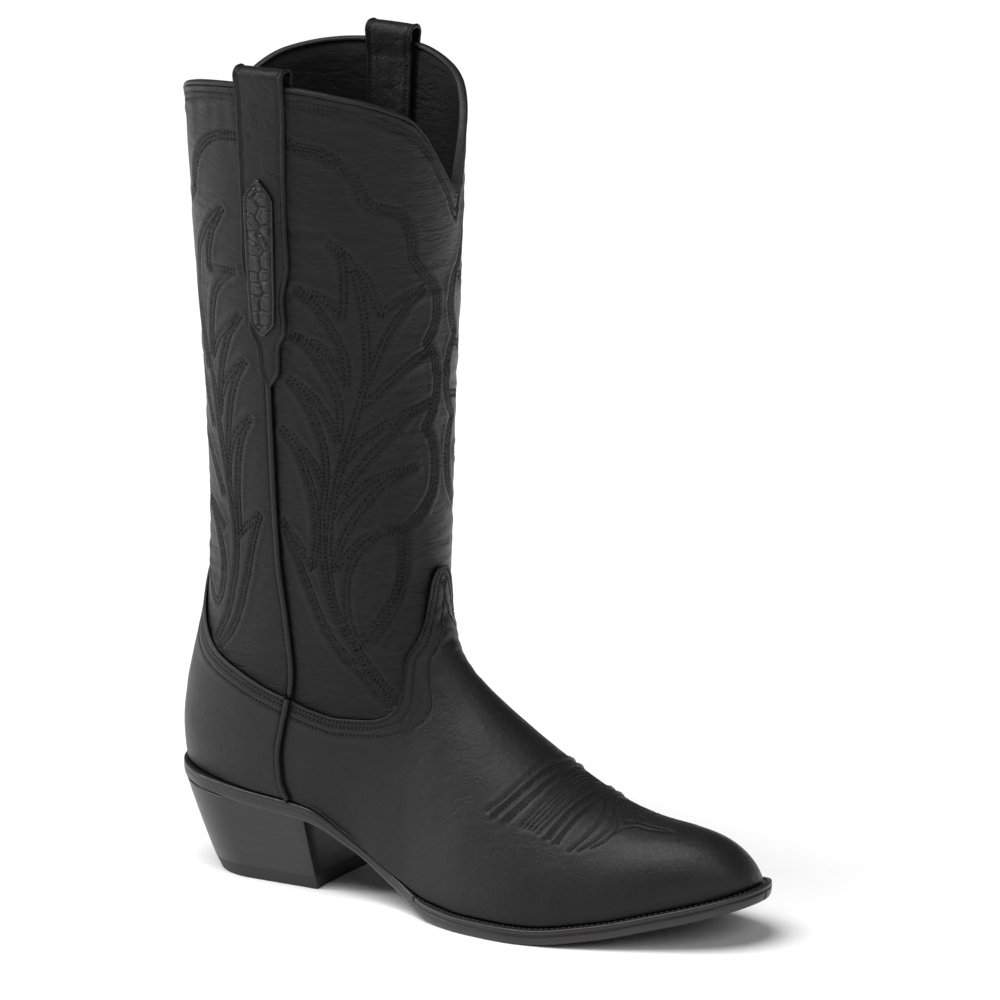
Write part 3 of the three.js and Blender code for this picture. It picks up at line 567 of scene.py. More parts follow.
def texture(tree, place, kind, scale, stretch=(1, 1, 1), **values):
    """A Noise, Voronoi or Wave texture; its scale is given as a feature size in mm."""
    mapping = tree.nodes.new("ShaderNodeMapping")
    mapping.inputs["Scale"].default_value = stretch
    tree.links.new(place, mapping.inputs["Vector"])
    node = tree.nodes.new("ShaderNodeTex" + kind)
    node.inputs["Scale"].default_value = 1000 / scale
    for key, value in values.items():
        if key in ("feature", "bands_direction"):
            setattr(node, key, value)
        else:
            node.inputs[key].default_value = value
    tree.links.new(mapping.outputs["Vector"], node.inputs["Vector"])
    return node


def ramp(tree, source, stops):
    node = tree.nodes.new("ShaderNodeValToRGB")
    elements = node.color_ramp.elements
    while len(elements) < len(stops):
        elements.new(0.5)
    for element, (position, value) in zip(elements, stops):
        element.position = position
        element.color = (*value, 1) if isinstance(value, tuple) else (value, value, value, 1)
    tree.links.new(source, node.inputs["Fac"])
    return node.outputs["Color"]


def mix_colour(tree, factor, a, b, mode="MIX"):
    node = tree.nodes.new("ShaderNodeMix")
    node.data_type = "RGBA"
    node.blend_type = mode
    for socket, value in ((node.inputs[0], factor), (node.inputs[6], a), (node.inputs[7], b)):
        if isinstance(value, (int, float)):
            socket.default_value = value
        elif isinstance(value, tuple):
            socket.default_value = (*value, 1)
        else:
            tree.links.new(value, socket)
    return node.outputs[2]


def bump(tree, height, distance, strength, under=None):
    node = tree.nodes.new("ShaderNodeBump")
    node.inputs["Strength"].default_value = strength
    node.inputs["Distance"].default_value = distance * MM
    tree.links.new(height, node.inputs["Height"])
    if under is not None:
        tree.links.new(under, node.inputs["Normal"])
    return node.outputs["Normal"]


def leather(name, colour, lit, roughness, pore, crease, crease_stretch, specular, use_relief=True,
            crease_depth=0.45):
    """Dyed leather: pores and creases in the bump, uneven dye, polish worn onto the raised parts, and painted
    shade from the relief attribute that darkens sunken lines, holes, gutters and edges and lightens raised
    leather.
    """
    material, tree, shader, place = node_material(name)
    pores = texture(tree, place, "Voronoi", pore, feature="DISTANCE_TO_EDGE", Randomness=1.0)
    pore_height = ramp(tree, pores.outputs["Distance"], [(0.0, 0.0), (0.12, 0.8), (0.5, 1.0)])
    grain = texture(tree, place, "Noise", pore * 2.4, Detail=6.0, Roughness=0.62)
    creases = texture(tree, place, "Noise", crease, crease_stretch, Detail=5.0, Roughness=0.55,
                      Distortion=0.6)
    crease_height = ramp(tree, creases.outputs["Fac"], [(0.36, 0.0), (0.5, 0.75), (0.66, 1.0)])
    patches = texture(tree, place, "Noise", 38, Detail=3.0, Roughness=0.5)
    tone = ramp(tree, patches.outputs["Fac"], [(0.32, colour), (0.7, lit)])
    tone = mix_colour(tree, 0.35, tone, ramp(tree, grain.outputs["Fac"], [(0.3, colour), (0.75, lit)]))
    if use_relief:
        raised = tree.nodes.new("ShaderNodeAttribute")
        raised.attribute_name = "relief"
        span = tree.nodes.new("ShaderNodeMapRange")
        span.inputs["From Min"].default_value = -0.5
        span.inputs["From Max"].default_value = 0.9
        tree.links.new(raised.outputs["Fac"], span.inputs["Value"])
        # Painted shade and light: sunken marks darken the dye down to a fifth, raised leather lightens it up
        # to 1.7 times.
        shade = ramp(tree, span.outputs["Result"], [(0.0, 0.2), (0.3, 1.0), (1.0, 1.7)])
        tone = mix_colour(tree, 1.0, tone, shade, "MULTIPLY")
    tree.links.new(tone, shader.inputs["Base Color"])
    gloss = ramp(tree, patches.outputs["Fac"], [(0.3, roughness - 0.05), (0.7, roughness + 0.08)])
    if use_relief:
        worn = ramp(tree, span.outputs["Result"], [(0.0, 0.45), (0.3, 0.04), (0.45, 0.0)])
        gloss = mix_colour(tree, 1.0, gloss, worn, "ADD")
    tree.links.new(gloss, shader.inputs["Roughness"])
    shader.inputs["Specular IOR Level"].default_value = specular
    normal = bump(tree, crease_height, crease_depth, 0.6)
    normal = bump(tree, grain.outputs["Fac"], 0.3, 0.7, normal)
    normal = bump(tree, pore_height, 0.09, 0.6, normal)
    tree.links.new(normal, shader.inputs["Normal"])
    return material


def edge_leather(name, colour, lit):
    """Burnished sole leather seen on its edge: fine horizontal fibres under a wax finish."""
    material, tree, shader, place = node_material(name)
    fibres = texture(tree, place, "Noise", 3.2, (0.35, 0.35, 4.5), Detail=6.0, Roughness=0.6)
    blotches = texture(tree, place, "Noise", 17, (1, 1, 1.6), Detail=4.0, Roughness=0.55)
    scuffs = texture(tree, place, "Noise", 1.1, (1, 1, 2.2), Detail=3.0)
    tone = ramp(tree, blotches.outputs["Fac"], [(0.3, colour), (0.72, lit)])
    tone = mix_colour(tree, 0.3, tone, ramp(tree, fibres.outputs["Fac"], [(0.35, colour), (0.7, lit)]))
    tree.links.new(tone, shader.inputs["Base Color"])
    rough = ramp(tree, scuffs.outputs["Fac"], [(0.3, 0.34), (0.75, 0.5)])
    tree.links.new(rough, shader.inputs["Roughness"])
    shader.inputs["Coat Weight"].default_value = 0.15
    shader.inputs["Coat Roughness"].default_value = 0.35
    normal = bump(tree, fibres.outputs["Fac"], 0.12, 0.35)
    normal = bump(tree, scuffs.outputs["Fac"], 0.05, 0.3, normal)
    tree.links.new(normal, shader.inputs["Normal"])
    return material


def plain_grain(name, colour, lit, roughness, size, stretch=(1, 1, 1), metallic=0.0, depth=0.08):
    """A material with one noise for its tone and its surface: wood, cork, metal, rubber, bare leather."""
    material, tree, shader, place = node_material(name)
    fine = texture(tree, place, "Noise", size, stretch, Detail=6.0, Roughness=0.6)
    broad = texture(tree, place, "Noise", size * 9, Detail=2.0)
    tone = mix_colour(tree, ramp(tree, broad.outputs["Fac"], [(0.35, 0.2), (0.7, 0.8)]),
                      ramp(tree, fine.outputs["Fac"], [(0.3, colour), (0.72, lit)]), lit)
    tree.links.new(tone, shader.inputs["Base Color"])
    rough = ramp(tree, fine.outputs["Fac"], [(0.2, roughness - 0.08), (0.8, roughness + 0.08)])
    tree.links.new(rough, shader.inputs["Roughness"])
    shader.inputs["Metallic"].default_value = metallic
    tree.links.new(bump(tree, fine.outputs["Fac"], depth, 0.5), shader.inputs["Normal"])
    return material


def thread(name, colour):
    """Waxed thread: a fine twist across each stitch."""
    material, tree, shader, place = node_material(name)
    twist = texture(tree, place, "Wave", 0.5, Distortion=2.0, bands_direction="DIAGONAL")
    tone = ramp(tree, twist.outputs["Fac"], [(0.2, tuple(c * 0.6 for c in colour)), (0.8, colour)])
    tree.links.new(tone, shader.inputs["Base Color"])
    shader.inputs["Roughness"].default_value = 0.55
    tree.links.new(bump(tree, twist.outputs["Fac"], 0.05, 0.6), shader.inputs["Normal"])
    return material


SHAFT = leather("shaft_leather", (0.0024, 0.0021, 0.0027), (0.005, 0.0045, 0.0055), 0.37, 0.9, 5.5,
                (0.55, 0.55, 2.6), 0.26)
FOOT = leather("foot_leather", (0.0041, 0.0037, 0.0044), (0.0086, 0.0079, 0.009), 0.36, 0.7, 7.5,
               (0.8, 0.8, 1.3), 0.32, crease_depth=0.16)
STRAP = leather("strap_leather", (0.003, 0.0029, 0.0032), (0.0058, 0.0056, 0.006), 0.38, 0.8, 8,
                (1, 1, 1), 0.28, use_relief=False)
LINING = leather("lining_leather", (0.0014, 0.0013, 0.0015), (0.0032, 0.003, 0.0033), 0.6, 0.9, 5,
                 (0.7, 0.7, 1.6), 0.2)
CROC = leather("embossed_leather", (0.0035, 0.0034, 0.0036), (0.008, 0.0077, 0.008), 0.25, 1.1, 3,
               (1, 1, 1), 0.45, use_relief=False)
SOLE_EDGE = edge_leather("sole_edge_leather", (0.0048, 0.0038, 0.0042), (0.0108, 0.0086, 0.0092))
HEEL = edge_leather("heel_leather", (0.004, 0.0031, 0.0034), (0.009, 0.007, 0.0076))
THREAD = thread("black_thread", (0.009, 0.0087, 0.0088))
# Painted highlight line under the welt: a lighter brown than the sole edge.
WELT_HIGHLIGHT = plain_grain("welt_highlight_line", (0.008, 0.0062, 0.0056), (0.028, 0.02, 0.016), 0.55, 1.2)
RUBBER = plain_grain("heel_rubber", (0.008, 0.0078, 0.0075), (0.016, 0.0152, 0.0145), 0.62, 0.8)
BARE = plain_grain("bare_leather", (0.36, 0.22, 0.12), (0.52, 0.36, 0.21), 0.72, 0.9)
BOARD = plain_grain("stiff_board", (0.22, 0.16, 0.1), (0.33, 0.26, 0.18), 0.85, 1.4)
CORK = plain_grain("cork", (0.2, 0.1, 0.045), (0.45, 0.28, 0.14), 0.9, 2.0, depth=0.3)
WOOD = plain_grain("peg_wood", (0.42, 0.28, 0.14), (0.62, 0.46, 0.27), 0.65, 0.7, (3, 3, 0.4))
STEEL = plain_grain("spring_steel", (0.32, 0.33, 0.34), (0.5, 0.5, 0.51), 0.32, 0.5, (0.3, 3, 3), 1.0, 0.02)
BRASS = plain_grain("brass", (0.42, 0.27, 0.08), (0.62, 0.43, 0.16), 0.35, 0.4, metallic=1.0, depth=0.02)

for node_name, material in (
        [("insole", BARE), ("cork_filler", CORK), ("steel_shank", STEEL), ("sock_liner", LINING)]
        + [(f"wooden_peg_{i}", WOOD) for i in range(1, 11)]
        + [(f"heel_nail_{i}", BRASS) for i in range(1, 8)]):
    node_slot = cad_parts[node_name].material_slots[0]
    node_slot.link = "OBJECT"
    node_slot.material = material

# ---------------------------------------------------------------- stitched pattern of the shaft

# Strokes on one half of the front panel as (degrees from the front, height); the other half mirrors them.
# Three rows follow the scalloped border, two rows each leaf edge and the stem.
FRONT_BORDER = [
    [(90, 353), (80, 353), (70.6, 349.5), (62, 348), (52, 342.5), (46, 336), (42.5, 327)],
    [(42.5, 327), (38, 323), (32, 321.5), (26, 319), (22, 312), (20.3, 299)],
    [(20.3, 299), (14, 290), (8, 283), (5.4, 274), (7, 265), (11.3, 258)],
    [(11.3, 258), (6.5, 251), (3.6, 239), (6.3, 227), (11.3, 219.5)],
    [(11.3, 219.5), (7, 213), (4.9, 202), (6.5, 190), (12.7, 181), (22, 174)],
    [(22, 174), (20.6, 162), (21.3, 150), (24.4, 139), (30, 129.5), (36, 122), (43, 118.5)],
]
FRONT_LEAVES = [
    [(57, 307), (52, 303.5), (46.3, 297), (40.6, 290), (37, 281), (34.3, 273.5)],
    [(57, 307), (53, 304), (51, 296), (50.6, 285), (50.9, 273.5)],
    [(46.3, 294), (42.9, 281), (41.2, 270), (40.2, 258), (40, 246)],
    [(14, 283.5), (23.4, 281.5), (30, 277.5), (34.3, 273.5)],
    [(14, 283.5), (22, 277), (30.6, 265), (36.3, 252), (40, 243)],
    [(9.9, 254), (20.6, 249.5), (29, 243), (36, 237), (41, 233)],
    [(8.4, 230), (17, 228.5), (25.6, 225.5), (34.9, 221), (42, 215.5), (49.5, 206)],
    [(10.6, 230), (20.6, 226), (29, 218), (37.7, 208), (44.9, 200), (50, 191.5)],
    [(16.3, 202), (25.6, 200.5), (34.9, 198), (43.4, 192), (49, 186), (53.5, 179)],
    [(16.3, 202), (27.7, 197), (36.3, 190), (43.4, 181), (49.9, 170), (55.6, 155)],
    [(22, 174), (29, 174.5), (36.3, 172), (43, 167.5), (49, 161), (53, 157)],
    [(27, 173.5), (23.6, 168), (22.6, 157), (25, 143), (30.6, 133), (37, 125.5), (42, 122), (45.6, 129),
     (48, 140), (47.6, 151), (44, 161), (38, 168), (32, 172.5), (27, 173.5)],
    [(73, 285), (67, 284), (60.6, 282), (54.9, 278), (50.9, 273.5)],
    [(73, 285), (63.4, 278), (57.7, 270), (53, 262), (49.7, 253), (49, 242)],
    [(76, 264), (69, 262), (62, 259.5), (55.5, 254), (49, 242)],
    [(76, 264), (66, 258), (60, 250), (55, 241), (52, 230), (53, 216)],
    [(77, 243), (70.6, 240), (63.4, 234), (57.5, 226), (53, 216)],
    [(77, 243), (68.5, 233), (63.4, 223), (60, 211), (59, 200), (59.9, 192)],
    [(82.7, 219), (76.3, 216), (69, 208.5), (63, 200), (59.9, 192)],
    [(82.7, 219), (74.5, 210), (69, 198), (65.2, 186), (64.4, 172), (67, 155)],
    [(86, 175), (79, 169), (72.7, 161.5), (67, 155)],
    [(86, 175), (76.3, 156.5), (67.7, 140.5), (59.5, 126.5), (49, 115), (38, 105), (26.5, 92)],
    [(40, 246), (43, 233), (48.5, 214), (53.5, 196), (57.3, 174), (57.8, 156), (54, 137), (46, 123.5),
     (36, 109.5), (24.5, 94)],
    [(59.9, 192), (61.7, 176), (61, 158), (57.6, 144), (51, 130), (42, 117), (33, 104.5), (25.4, 93)],
]
# The back panel, as degrees from the middle of the back.
BACK_BORDER = [
    [(90, 351.5), (77, 351), (70, 351), (60, 347.5), (53.6, 342), (48, 334), (44.5, 322)],
    [(44.5, 322), (38, 317), (31, 313), (26, 305), (24, 294)],
    [(24, 294), (16, 286), (9, 278), (7, 267), (11.5, 257)],
    [(11.5, 257), (6.5, 247), (4.6, 236), (7, 225), (12, 217)],
    [(12, 217), (7, 209), (5, 198), (8, 187), (20, 178)],
]
BACK_LEAVES = [
    [(67.9, 317), (60, 312), (54.3, 306), (47, 296), (43.6, 286), (42, 272)],
    [(67.9, 317), (60.5, 307), (56.8, 297), (56, 288)],
    [(74.3, 289.5), (65.7, 289), (60, 288.5), (56, 288)],
    [(74.3, 289.5), (66.5, 285), (60, 279), (56, 270), (53.6, 260), (52, 247)],
    [(75.7, 269), (68.6, 264), (60.7, 258), (52, 247)],
    [(75.7, 269), (67, 258.5), (61.8, 248), (58, 236), (55, 221)],
    [(77, 248), (70, 243.5), (62, 236), (55, 221)],
    [(77, 248), (69, 237), (64, 224), (60.5, 210), (57.5, 192)],
    [(77.9, 222), (70.7, 216.5), (64.3, 210), (57.5, 192)],
    [(77.9, 222), (70.7, 211), (66.6, 199), (63.6, 186), (61.4, 165)],
    [(78.6, 176.5), (72.9, 173), (67, 169.5), (61.4, 165)],
    [(78.6, 176.5), (70, 160), (65, 147), (58, 132), (49, 118.5), (38.6, 109)],
    [(42, 272), (45, 252), (51.4, 232), (53.5, 214), (56.5, 194), (58.4, 172), (57.5, 157), (53, 141),
     (46, 126), (36, 112)],
    [(24, 294), (31, 285), (37, 272), (41, 256), (45, 240)],
    [(11.5, 257), (20, 252), (30, 244), (40, 230), (47, 214)],
    [(12, 217), (24, 213), (36, 206), (45, 195), (50.7, 182)],
    [(20, 178), (30, 178), (40, 173), (48, 166)],
    [(30, 176), (24, 166), (22, 152), (27, 139), (36, 129), (42, 136), (45, 148), (43, 160), (37, 170),
     (30, 176)],
]


def with_normals(points):
    return points, outer_normal(points)


def panel_lines(facing, strokes, gaps):
    """Each stroke as rows on the panel's outer face, on both halves: (points, normals) pairs."""
    rows = []
    for stroke in strokes:
        plane = np.array([(math.radians(a) * PANEL_RADIUS, z) for a, z in stroke])
        length = np.linalg.norm(np.diff(plane, axis=0), axis=1).sum()
        line = spline(plane, max(int(length / 0.9), 6))
        for gap in gaps:
            moved = offset_line(line, gap)
            angle = np.degrees(moved[:, 0] / PANEL_RADIUS)
            for mirror in (-1, 1):
                rows.append(with_normals(panel_points(facing, mirror * angle, moved[:, 1])))
    return rows


def sunk(rows, depth):
    return [(points - normals * depth, normals) for points, normals in rows]


def rim_spreads(facing, reach, count):
    """Spreads along a panel's top edge, closer together round its dip."""
    dip = TOP_DIP[facing]
    turn = np.linspace(-1, 1, count)
    return dip + np.sign(turn) * np.abs(turn) ** 1.5 * (reach - np.sign(turn) * dip)


def topline_rows(facing, top):
    rows = []
    spread = rim_spreads(facing, 88.5, 320)
    for drop in RIM_DROPS:
        z = top(spread) - drop * (1 + 0.6 * np.exp(-((spread - TOP_DIP[facing]) / 9) ** 2))
        rows.append(with_normals(panel_points(facing, spread, z)))
    return rows


def shaft_relief(rows, seed):
    """Sunken stitch lines with the leather puffed between them, soft wrinkles across and down the leg; the
    stitch sinks and seam gutters also go back as painted shade.
    """
    lines = [points for points, _ in rows]
    holes = needle_holes(rows, SHAFT_PITCH)

    def relief(grid):
        near = near_lines(lines, grid, 6.0)
        sink = -0.26 * np.exp(-(near / 0.5) ** 2) + 0.34 * np.exp(-((near - 2.4) / 1.4) ** 2)
        sink = sink - 0.5 * np.exp(-(near_lines(holes, grid, 3.0) / 0.5) ** 2)
        folds = ripple(grid, (30, 30, 4.2), seed) * np.clip(ripple(grid, (45, 45, 30), seed + 3) + 0.25, 0, 1)
        puckers = ripple(grid, (6, 6, 26), seed + 5) * np.clip((grid[..., 2] - 325) / 35, 0, 1)
        slack = ripple(grid, (60, 60, 34), seed + 9)
        slack = 0.5 * slack * np.clip((grid[..., 2] - 110) / 40, 0, 1)
        gutter = seam_gutter(grid)
        # The second value, the stitch sinks less the seam gutters, is painted into the colour as shade in the
        # hollows and lighter on the puffs.
        return sink + 0.9 * folds + 0.5 * puckers - gutter + slack, sink - gutter

    return relief


def even_heights(low, high, count):
    return lerp(low[:, None], high[:, None], np.linspace(0, 1, count)[None])


def build_shaft():
    spreads = np.linspace(-1, 1, 325)
    turn = spreads * 90
    panels = {
        "front": (vamp_seam(turn) - SEAM_LAP, top_front, FRONT_BORDER, FRONT_LEAVES, 1),
        "back": (counter_seam(turn) - SEAM_LAP, top_back, BACK_BORDER, BACK_LEAVES, 2),
    }
    for facing, (low, top, border, leaves, seed) in panels.items():
        rows = panel_lines(facing, border, BORDER_GAPS)
        rows += panel_lines(facing, leaves, LEAF_GAPS)
        rows += topline_rows(facing, top)
        grid = leg_grid(facing, spreads, even_heights(low, top(turn), 265))
        sheet_mesh(f"{facing}_shaft_leather", grid, SHAFT_OUT, SHAFT_IN, SHAFT,
                   [f"{facing}_shaft"], shaft_relief(rows, seed), False)
        stitch_mesh(f"{facing}_shaft_stitching", sunk(rows, SHAFT_OUT + 0.2), "shaft_leather",
                    SHAFT_PITCH, *SHAFT_STITCH)


def lining_relief(grid):
    return 0.12 * ripple(grid, (20, 20, 9), 21), 0 * grid[..., 0]


def lining_mesh(name, grid, node, relief=None, flat_base=True):
    sheet_mesh(name, grid, LINING_OUT, LINING_IN, LINING, [node], relief, flat_base)


def build_linings():
    spreads = np.linspace(-1, 1, 161)
    turn = spreads * 90
    front = leg_grid("front", spreads, even_heights(vamp_seam(turn) - SEAM_LAP, top_front(turn), 110))
    back = leg_grid("back", spreads, even_heights(feather_under("back", spreads) + 0.3, top_back(turn), 140))
    lining_mesh("front_lining_leather", front, "front_shaft_lining", lining_relief, False)
    lining_mesh("back_lining_leather", back, "back_lining", lining_relief)


def build_bead():
    for facing, top in (("front", top_front), ("back", top_back)):
        spread = rim_spreads(facing, HALF_SPAN - 0.3, 420)
        face = panel_points(facing, spread, top(spread) + 0.15)
        outward = unit(outer_normal(face) * [1, 1, 0])
        turn = np.linspace(0, 2 * np.pi, 18, endpoint=False)
        half_width, half_height = 1.95, 1.25
        across = np.sign(np.cos(turn)) * np.abs(np.cos(turn)) ** 0.75 * half_width
        lift = 0.9 + np.sin(turn) * half_height
        sections = face[:, None] + outward[:, None] * (across - 2.4)[None, :, None]
        sections = sections + np.array([0, 0, 1.0]) * lift[None, :, None]
        loft_mesh(f"topline_binding_{facing}", sections, FOOT, [f"topline_bead_{facing}"])


# ---------------------------------------------------------------- foot

# Toe stitching in plan (x, y) on the outer half; the inner half mirrors it about the top of the foot.
TOE_ROWS = [
    [(125, -34), (130.5, -30.5), (136, -22), (139, -12), (140.2, 1.5)],
    [(130, -34.5), (136, -28.5), (140.8, -19), (143.3, -8), (144, 1.5)],
    [(137, -34), (142, -27), (145.8, -17), (147.6, -5), (148, 1.5)],
    [(151, -32), (155, -23), (158, -10), (158.8, 2)],
    [(156, -31.5), (159.8, -20), (162.2, -8), (162.8, 2)],
    [(160.5, -31), (164, -19), (166.2, -6), (166.6, 2)],
]
TOE_CORDS = [
    [(127.8, -34), (133.5, -29), (138.6, -20), (141.2, -10), (142.1, 1.5)],
    [(133.6, -34), (139.2, -27.5), (143.4, -18), (145.6, -6), (146, 1.5)],
    [(153.6, -31.8), (157.4, -21.5), (160.2, -9), (160.8, 2)],
    [(158.2, -31.2), (162, -19.5), (164.3, -7), (164.7, 2)],
]
TOE_SCROLL = [
    [(166, -31), (170, -25), (172.4, -17), (172, -9), (169.6, -2.5), (171, 2)],
    [(170, -29), (175, -23), (177.5, -15), (176, -7), (173.4, -1.5), (175, 2)],
    [(174.5, -26), (179.5, -20), (180.6, -13), (177.6, -7), (178.5, 0), (182, 2)],
    [(180, -18), (183, -13), (186.5, -9), (195, -7.5), (203.5, -5)],
    [(181, -8), (187, -5.5), (194, -4.8), (203.5, -4)],
    [(182, -9), (180.6, -4), (183, 0), (187, -1.5), (185.5, -6), (182, -9)],
]


def top_of_foot(x, y):
    """Points on the foot's outer face right above plan positions."""
    start = np.stack([x, y, feather(x) + 6], -1)
    return meet_surface(start, np.array([0.0, 0.0, 1.0]))


def toe_lines(strokes):
    lines = []
    for stroke in strokes:
        plane = np.array(stroke, float)
        length = np.linalg.norm(np.diff(plane, axis=0), axis=1).sum()
        line = spline(plane, max(int(length * 1.25 / 0.8), 8))
        axis = (outer_edge(line[:, 0]) + inner_edge(line[:, 0])) / 2 * 0.5 + 1.2
        for y in (line[:, 1], 2 * axis - line[:, 1]):
            lines.append(with_normals(top_of_foot(line[:, 0], y)))
    return lines


def stipple_lines():
    """Short close rows that fill the bands beside the toe cords."""
    strokes = []
    for k in range(4):
        shift = 2.0 * k
        strokes.append([(142.5 + shift, -33.5 + 0.4 * k), (147 + shift * 0.9, -25),
                        (149.6 + shift * 0.85, -15), (150 + shift * 0.9, 1.5)])
    return toe_lines(strokes)


def seam_rows(seam, facing):
    """Rows of stitches that follow a foot seam below its edge."""
    spread = np.linspace(-88, 88, 420)
    line = np.stack([np.radians(spread) * FOOT_RADIUS, seam(spread)], -1)
    rows = []
    for drop in SEAM_DROPS:
        low = resample(offset_line(line, -drop), 420)
        rows.append(with_normals(panel_points(facing, np.degrees(low[:, 0] / FOOT_RADIUS), low[:, 1])))
    return rows


def foot_relief(rows, seed, cords=()):
    """Sunken stitch lines and soft wrinkles; the vamp, which has the cords, also folds at its throat. The
    sinks, holes, gutters and cords also go back as painted shade and light.
    """
    lines = [points for points, _ in rows]
    holes = needle_holes(rows, FOOT_PITCH)
    raised = [points for points, _ in cords]

    def relief(grid):
        near = near_lines(lines, grid, 6.0)
        height = -0.2 * np.exp(-(near / 0.55) ** 2) + 0.1 * np.exp(-((near - 2.2) / 1.2) ** 2)
        height = height - 0.55 * np.exp(-(near_lines(holes, grid, 3.0) / 0.5) ** 2)
        if raised:
            height = height + 0.95 * np.exp(-(near_lines(raised, grid, 6.0) / 0.85) ** 2)
        # Painted shading: sunken lines, needle holes and seam gutters darken the colour, and the raised cords
        # lighten it.
        painted_shading = height - seam_gutter(grid)
        height = painted_shading + 0.14 * ripple(grid, (16, 16, 9), seed) + 0.22 * ripple(grid, (40, 40, 24), seed + 2)
        if raised:
            x, y, z = grid[..., 0], grid[..., 1], grid[..., 2]
            fade = np.exp(-((z - 122) / 17) ** 2) * np.clip((x - 62) / 20, 0, 1)
            folds = ripple(grid + np.stack([0 * x, 0 * y, np.abs(y) * 0.35], -1), (60, 34, 3.4), seed + 6)
            height = height + 0.95 * fade * folds
        return height, painted_shading

    return relief


def foot_stitches(name, rows):
    stitch_mesh(name, sunk(rows, OVERLAY_OUT + 0.2), "foot_leather", FOOT_PITCH, *FOOT_STITCH)


def board_mesh(name, grid, node):
    sheet_mesh(name, grid, SHAFT_OUT + 0.1, SHAFT_IN, BOARD, [node])


def build_foot():
    rows = seam_rows(vamp_seam, "front")
    toe = toe_lines(TOE_ROWS + TOE_SCROLL) + stipple_lines()
    cords = toe_lines(TOE_CORDS)
    spreads = np.linspace(-1, 1, 391)
    grid = foot_grid(np.sign(spreads) * np.abs(spreads) ** 1.3, 215)
    sheet_mesh("vamp_leather", grid, OVERLAY_OUT, OVERLAY_IN, FOOT, ["vamp"],
               foot_relief(rows + toe, 11, cords))
    foot_stitches("vamp_stitching", rows)
    stitch_mesh("toe_stitching", sunk(toe, OVERLAY_OUT + 0.18), "foot_leather", FOOT_PITCH, 1.2, 0.25)

    spreads = np.linspace(-1, 1, 200)
    turn = spreads * 90
    low = feather_under("back", spreads) + 0.2
    counter = leg_grid("back", spreads, even_heights(low, counter_seam(turn), 90))
    rows = seam_rows(counter_seam, "back")
    sheet_mesh("counter_leather", counter, OVERLAY_OUT, OVERLAY_IN, FOOT,
               ["heel_counter_cover"], foot_relief(rows, 31))
    foot_stitches("counter_stitching", rows)

    forepart = foot_grid(np.linspace(-1, 1, 160), 60)
    board_mesh("toe_box_board", forepart[48:-48, :38], "toe_box")
    spreads = np.linspace(-0.95, 0.95, 90)
    low = feather_under("back", spreads) + 0.3
    heel = leg_grid("back", spreads, even_heights(low, 66 + 14 * np.cos(np.radians(spreads * 90)), 30))
    board_mesh("heel_counter_board", heel, "counter_stiffener")
    lining_mesh("vamp_lining_leather", forepart[:, :54], "vamp_lining")


def build_piping():
    radius = 1.3
    turn = np.linspace(0, 2 * np.pi, 14, endpoint=False)
    for word, side in SIDES.items():
        for label, low, high, depth, node in (
                ("shaft", 91.5, 241, SHAFT_OUT, "side_piping"),
                ("foot", float(feather(SEAM_X)) + 0.6, 91.2, OVERLAY_OUT, "foot_piping")):
            z = np.linspace(low, high, int((high - low) / 1.2))
            face = leg_points(side * side_seam(z), z)
            normal = outer_normal(face)
            along = unit(np.gradient(face, axis=0))
            across = unit(np.cross(normal, along))
            taper = np.clip((z - low) / 2.5, 0.5, 1) if label == "shaft" else 1 + 0 * z
            centre = face + normal * (radius * 0.5 - depth)
            ring = (across[:, None] * np.cos(turn)[None, :, None]
                    + normal[:, None] * np.sin(turn)[None, :, None]) * (radius * taper)[:, None, None]
            loft_mesh(f"{label}_piping_{word}_cord", centre[:, None] + ring, FOOT,
                      [f"{node}_{word}"])


# ---------------------------------------------------------------- pull straps

strap_half_width = curve([
    (STRAP_POINT, 1.2), (245, 5), (257, 6), (265, 9.5), (279, 9), (296, 12), (315, 11.5), (384, 12.5)])
shield_half_width = curve([(262, 0.8), (269, 6.3), (296, 7.2), (324, 7.6), (334, 0.8)])


def leg_side(x, z):
    start = np.stack([x, 0 * x, z], -1)
    return meet_surface(start, np.array([0.0, 1.0, 0.0]))[..., 1]


def strap_run():
    """A strap's run as (distance out from the leg's face, height): up the outside, over and down inside."""
    crown, radius, outer, inner = LOOP_TOP - 0.85, 3.2, 1.9, -6.6
    turn = np.radians(np.linspace(0, 90, 7))
    over = [(outer - radius * (1 - math.cos(t)), crown - radius * (1 - math.sin(t))) for t in turn]
    down = [(inner + radius * (1 - math.cos(t)), crown - radius * (1 - math.sin(t))) for t in turn[::-1]]
    heights = (STRAP_POINT, 242, 246, 251, 257, 261, 265, 272, 279, 288, 296, 315, 335, 355, 369)
    outside = [(-0.15, z) for z in heights]
    inside = [(-5.2, z) for z in (369, 350, 330, 310)]
    run = np.array(outside + [(0.9, 375)] + over + down + [(-6.1, 375)] + inside, float)
    return resample(run, 260)


def strap_frame(side, run, u):
    """A strap's middle surface at shares u across it, (rows, 1) or (1, columns), and its outward normals."""
    z = np.maximum(run[:, 1:], STRAP_POINT)
    x = STRAP_X + u * strap_half_width(z)
    face = leg_side(x, np.minimum(z, 372) + 0 * x)
    lean = np.gradient(run, axis=0)
    lean = unit(np.stack([lean[:, 1], -lean[:, 0]], -1))
    points = np.stack([x, side * (face + run[:, :1]), run[:, 1:] + 0 * x], -1)
    normal = np.stack([0 * x, side * lean[:, :1] + 0 * x, lean[:, 1:] + 0 * x], -1)
    return points, normal


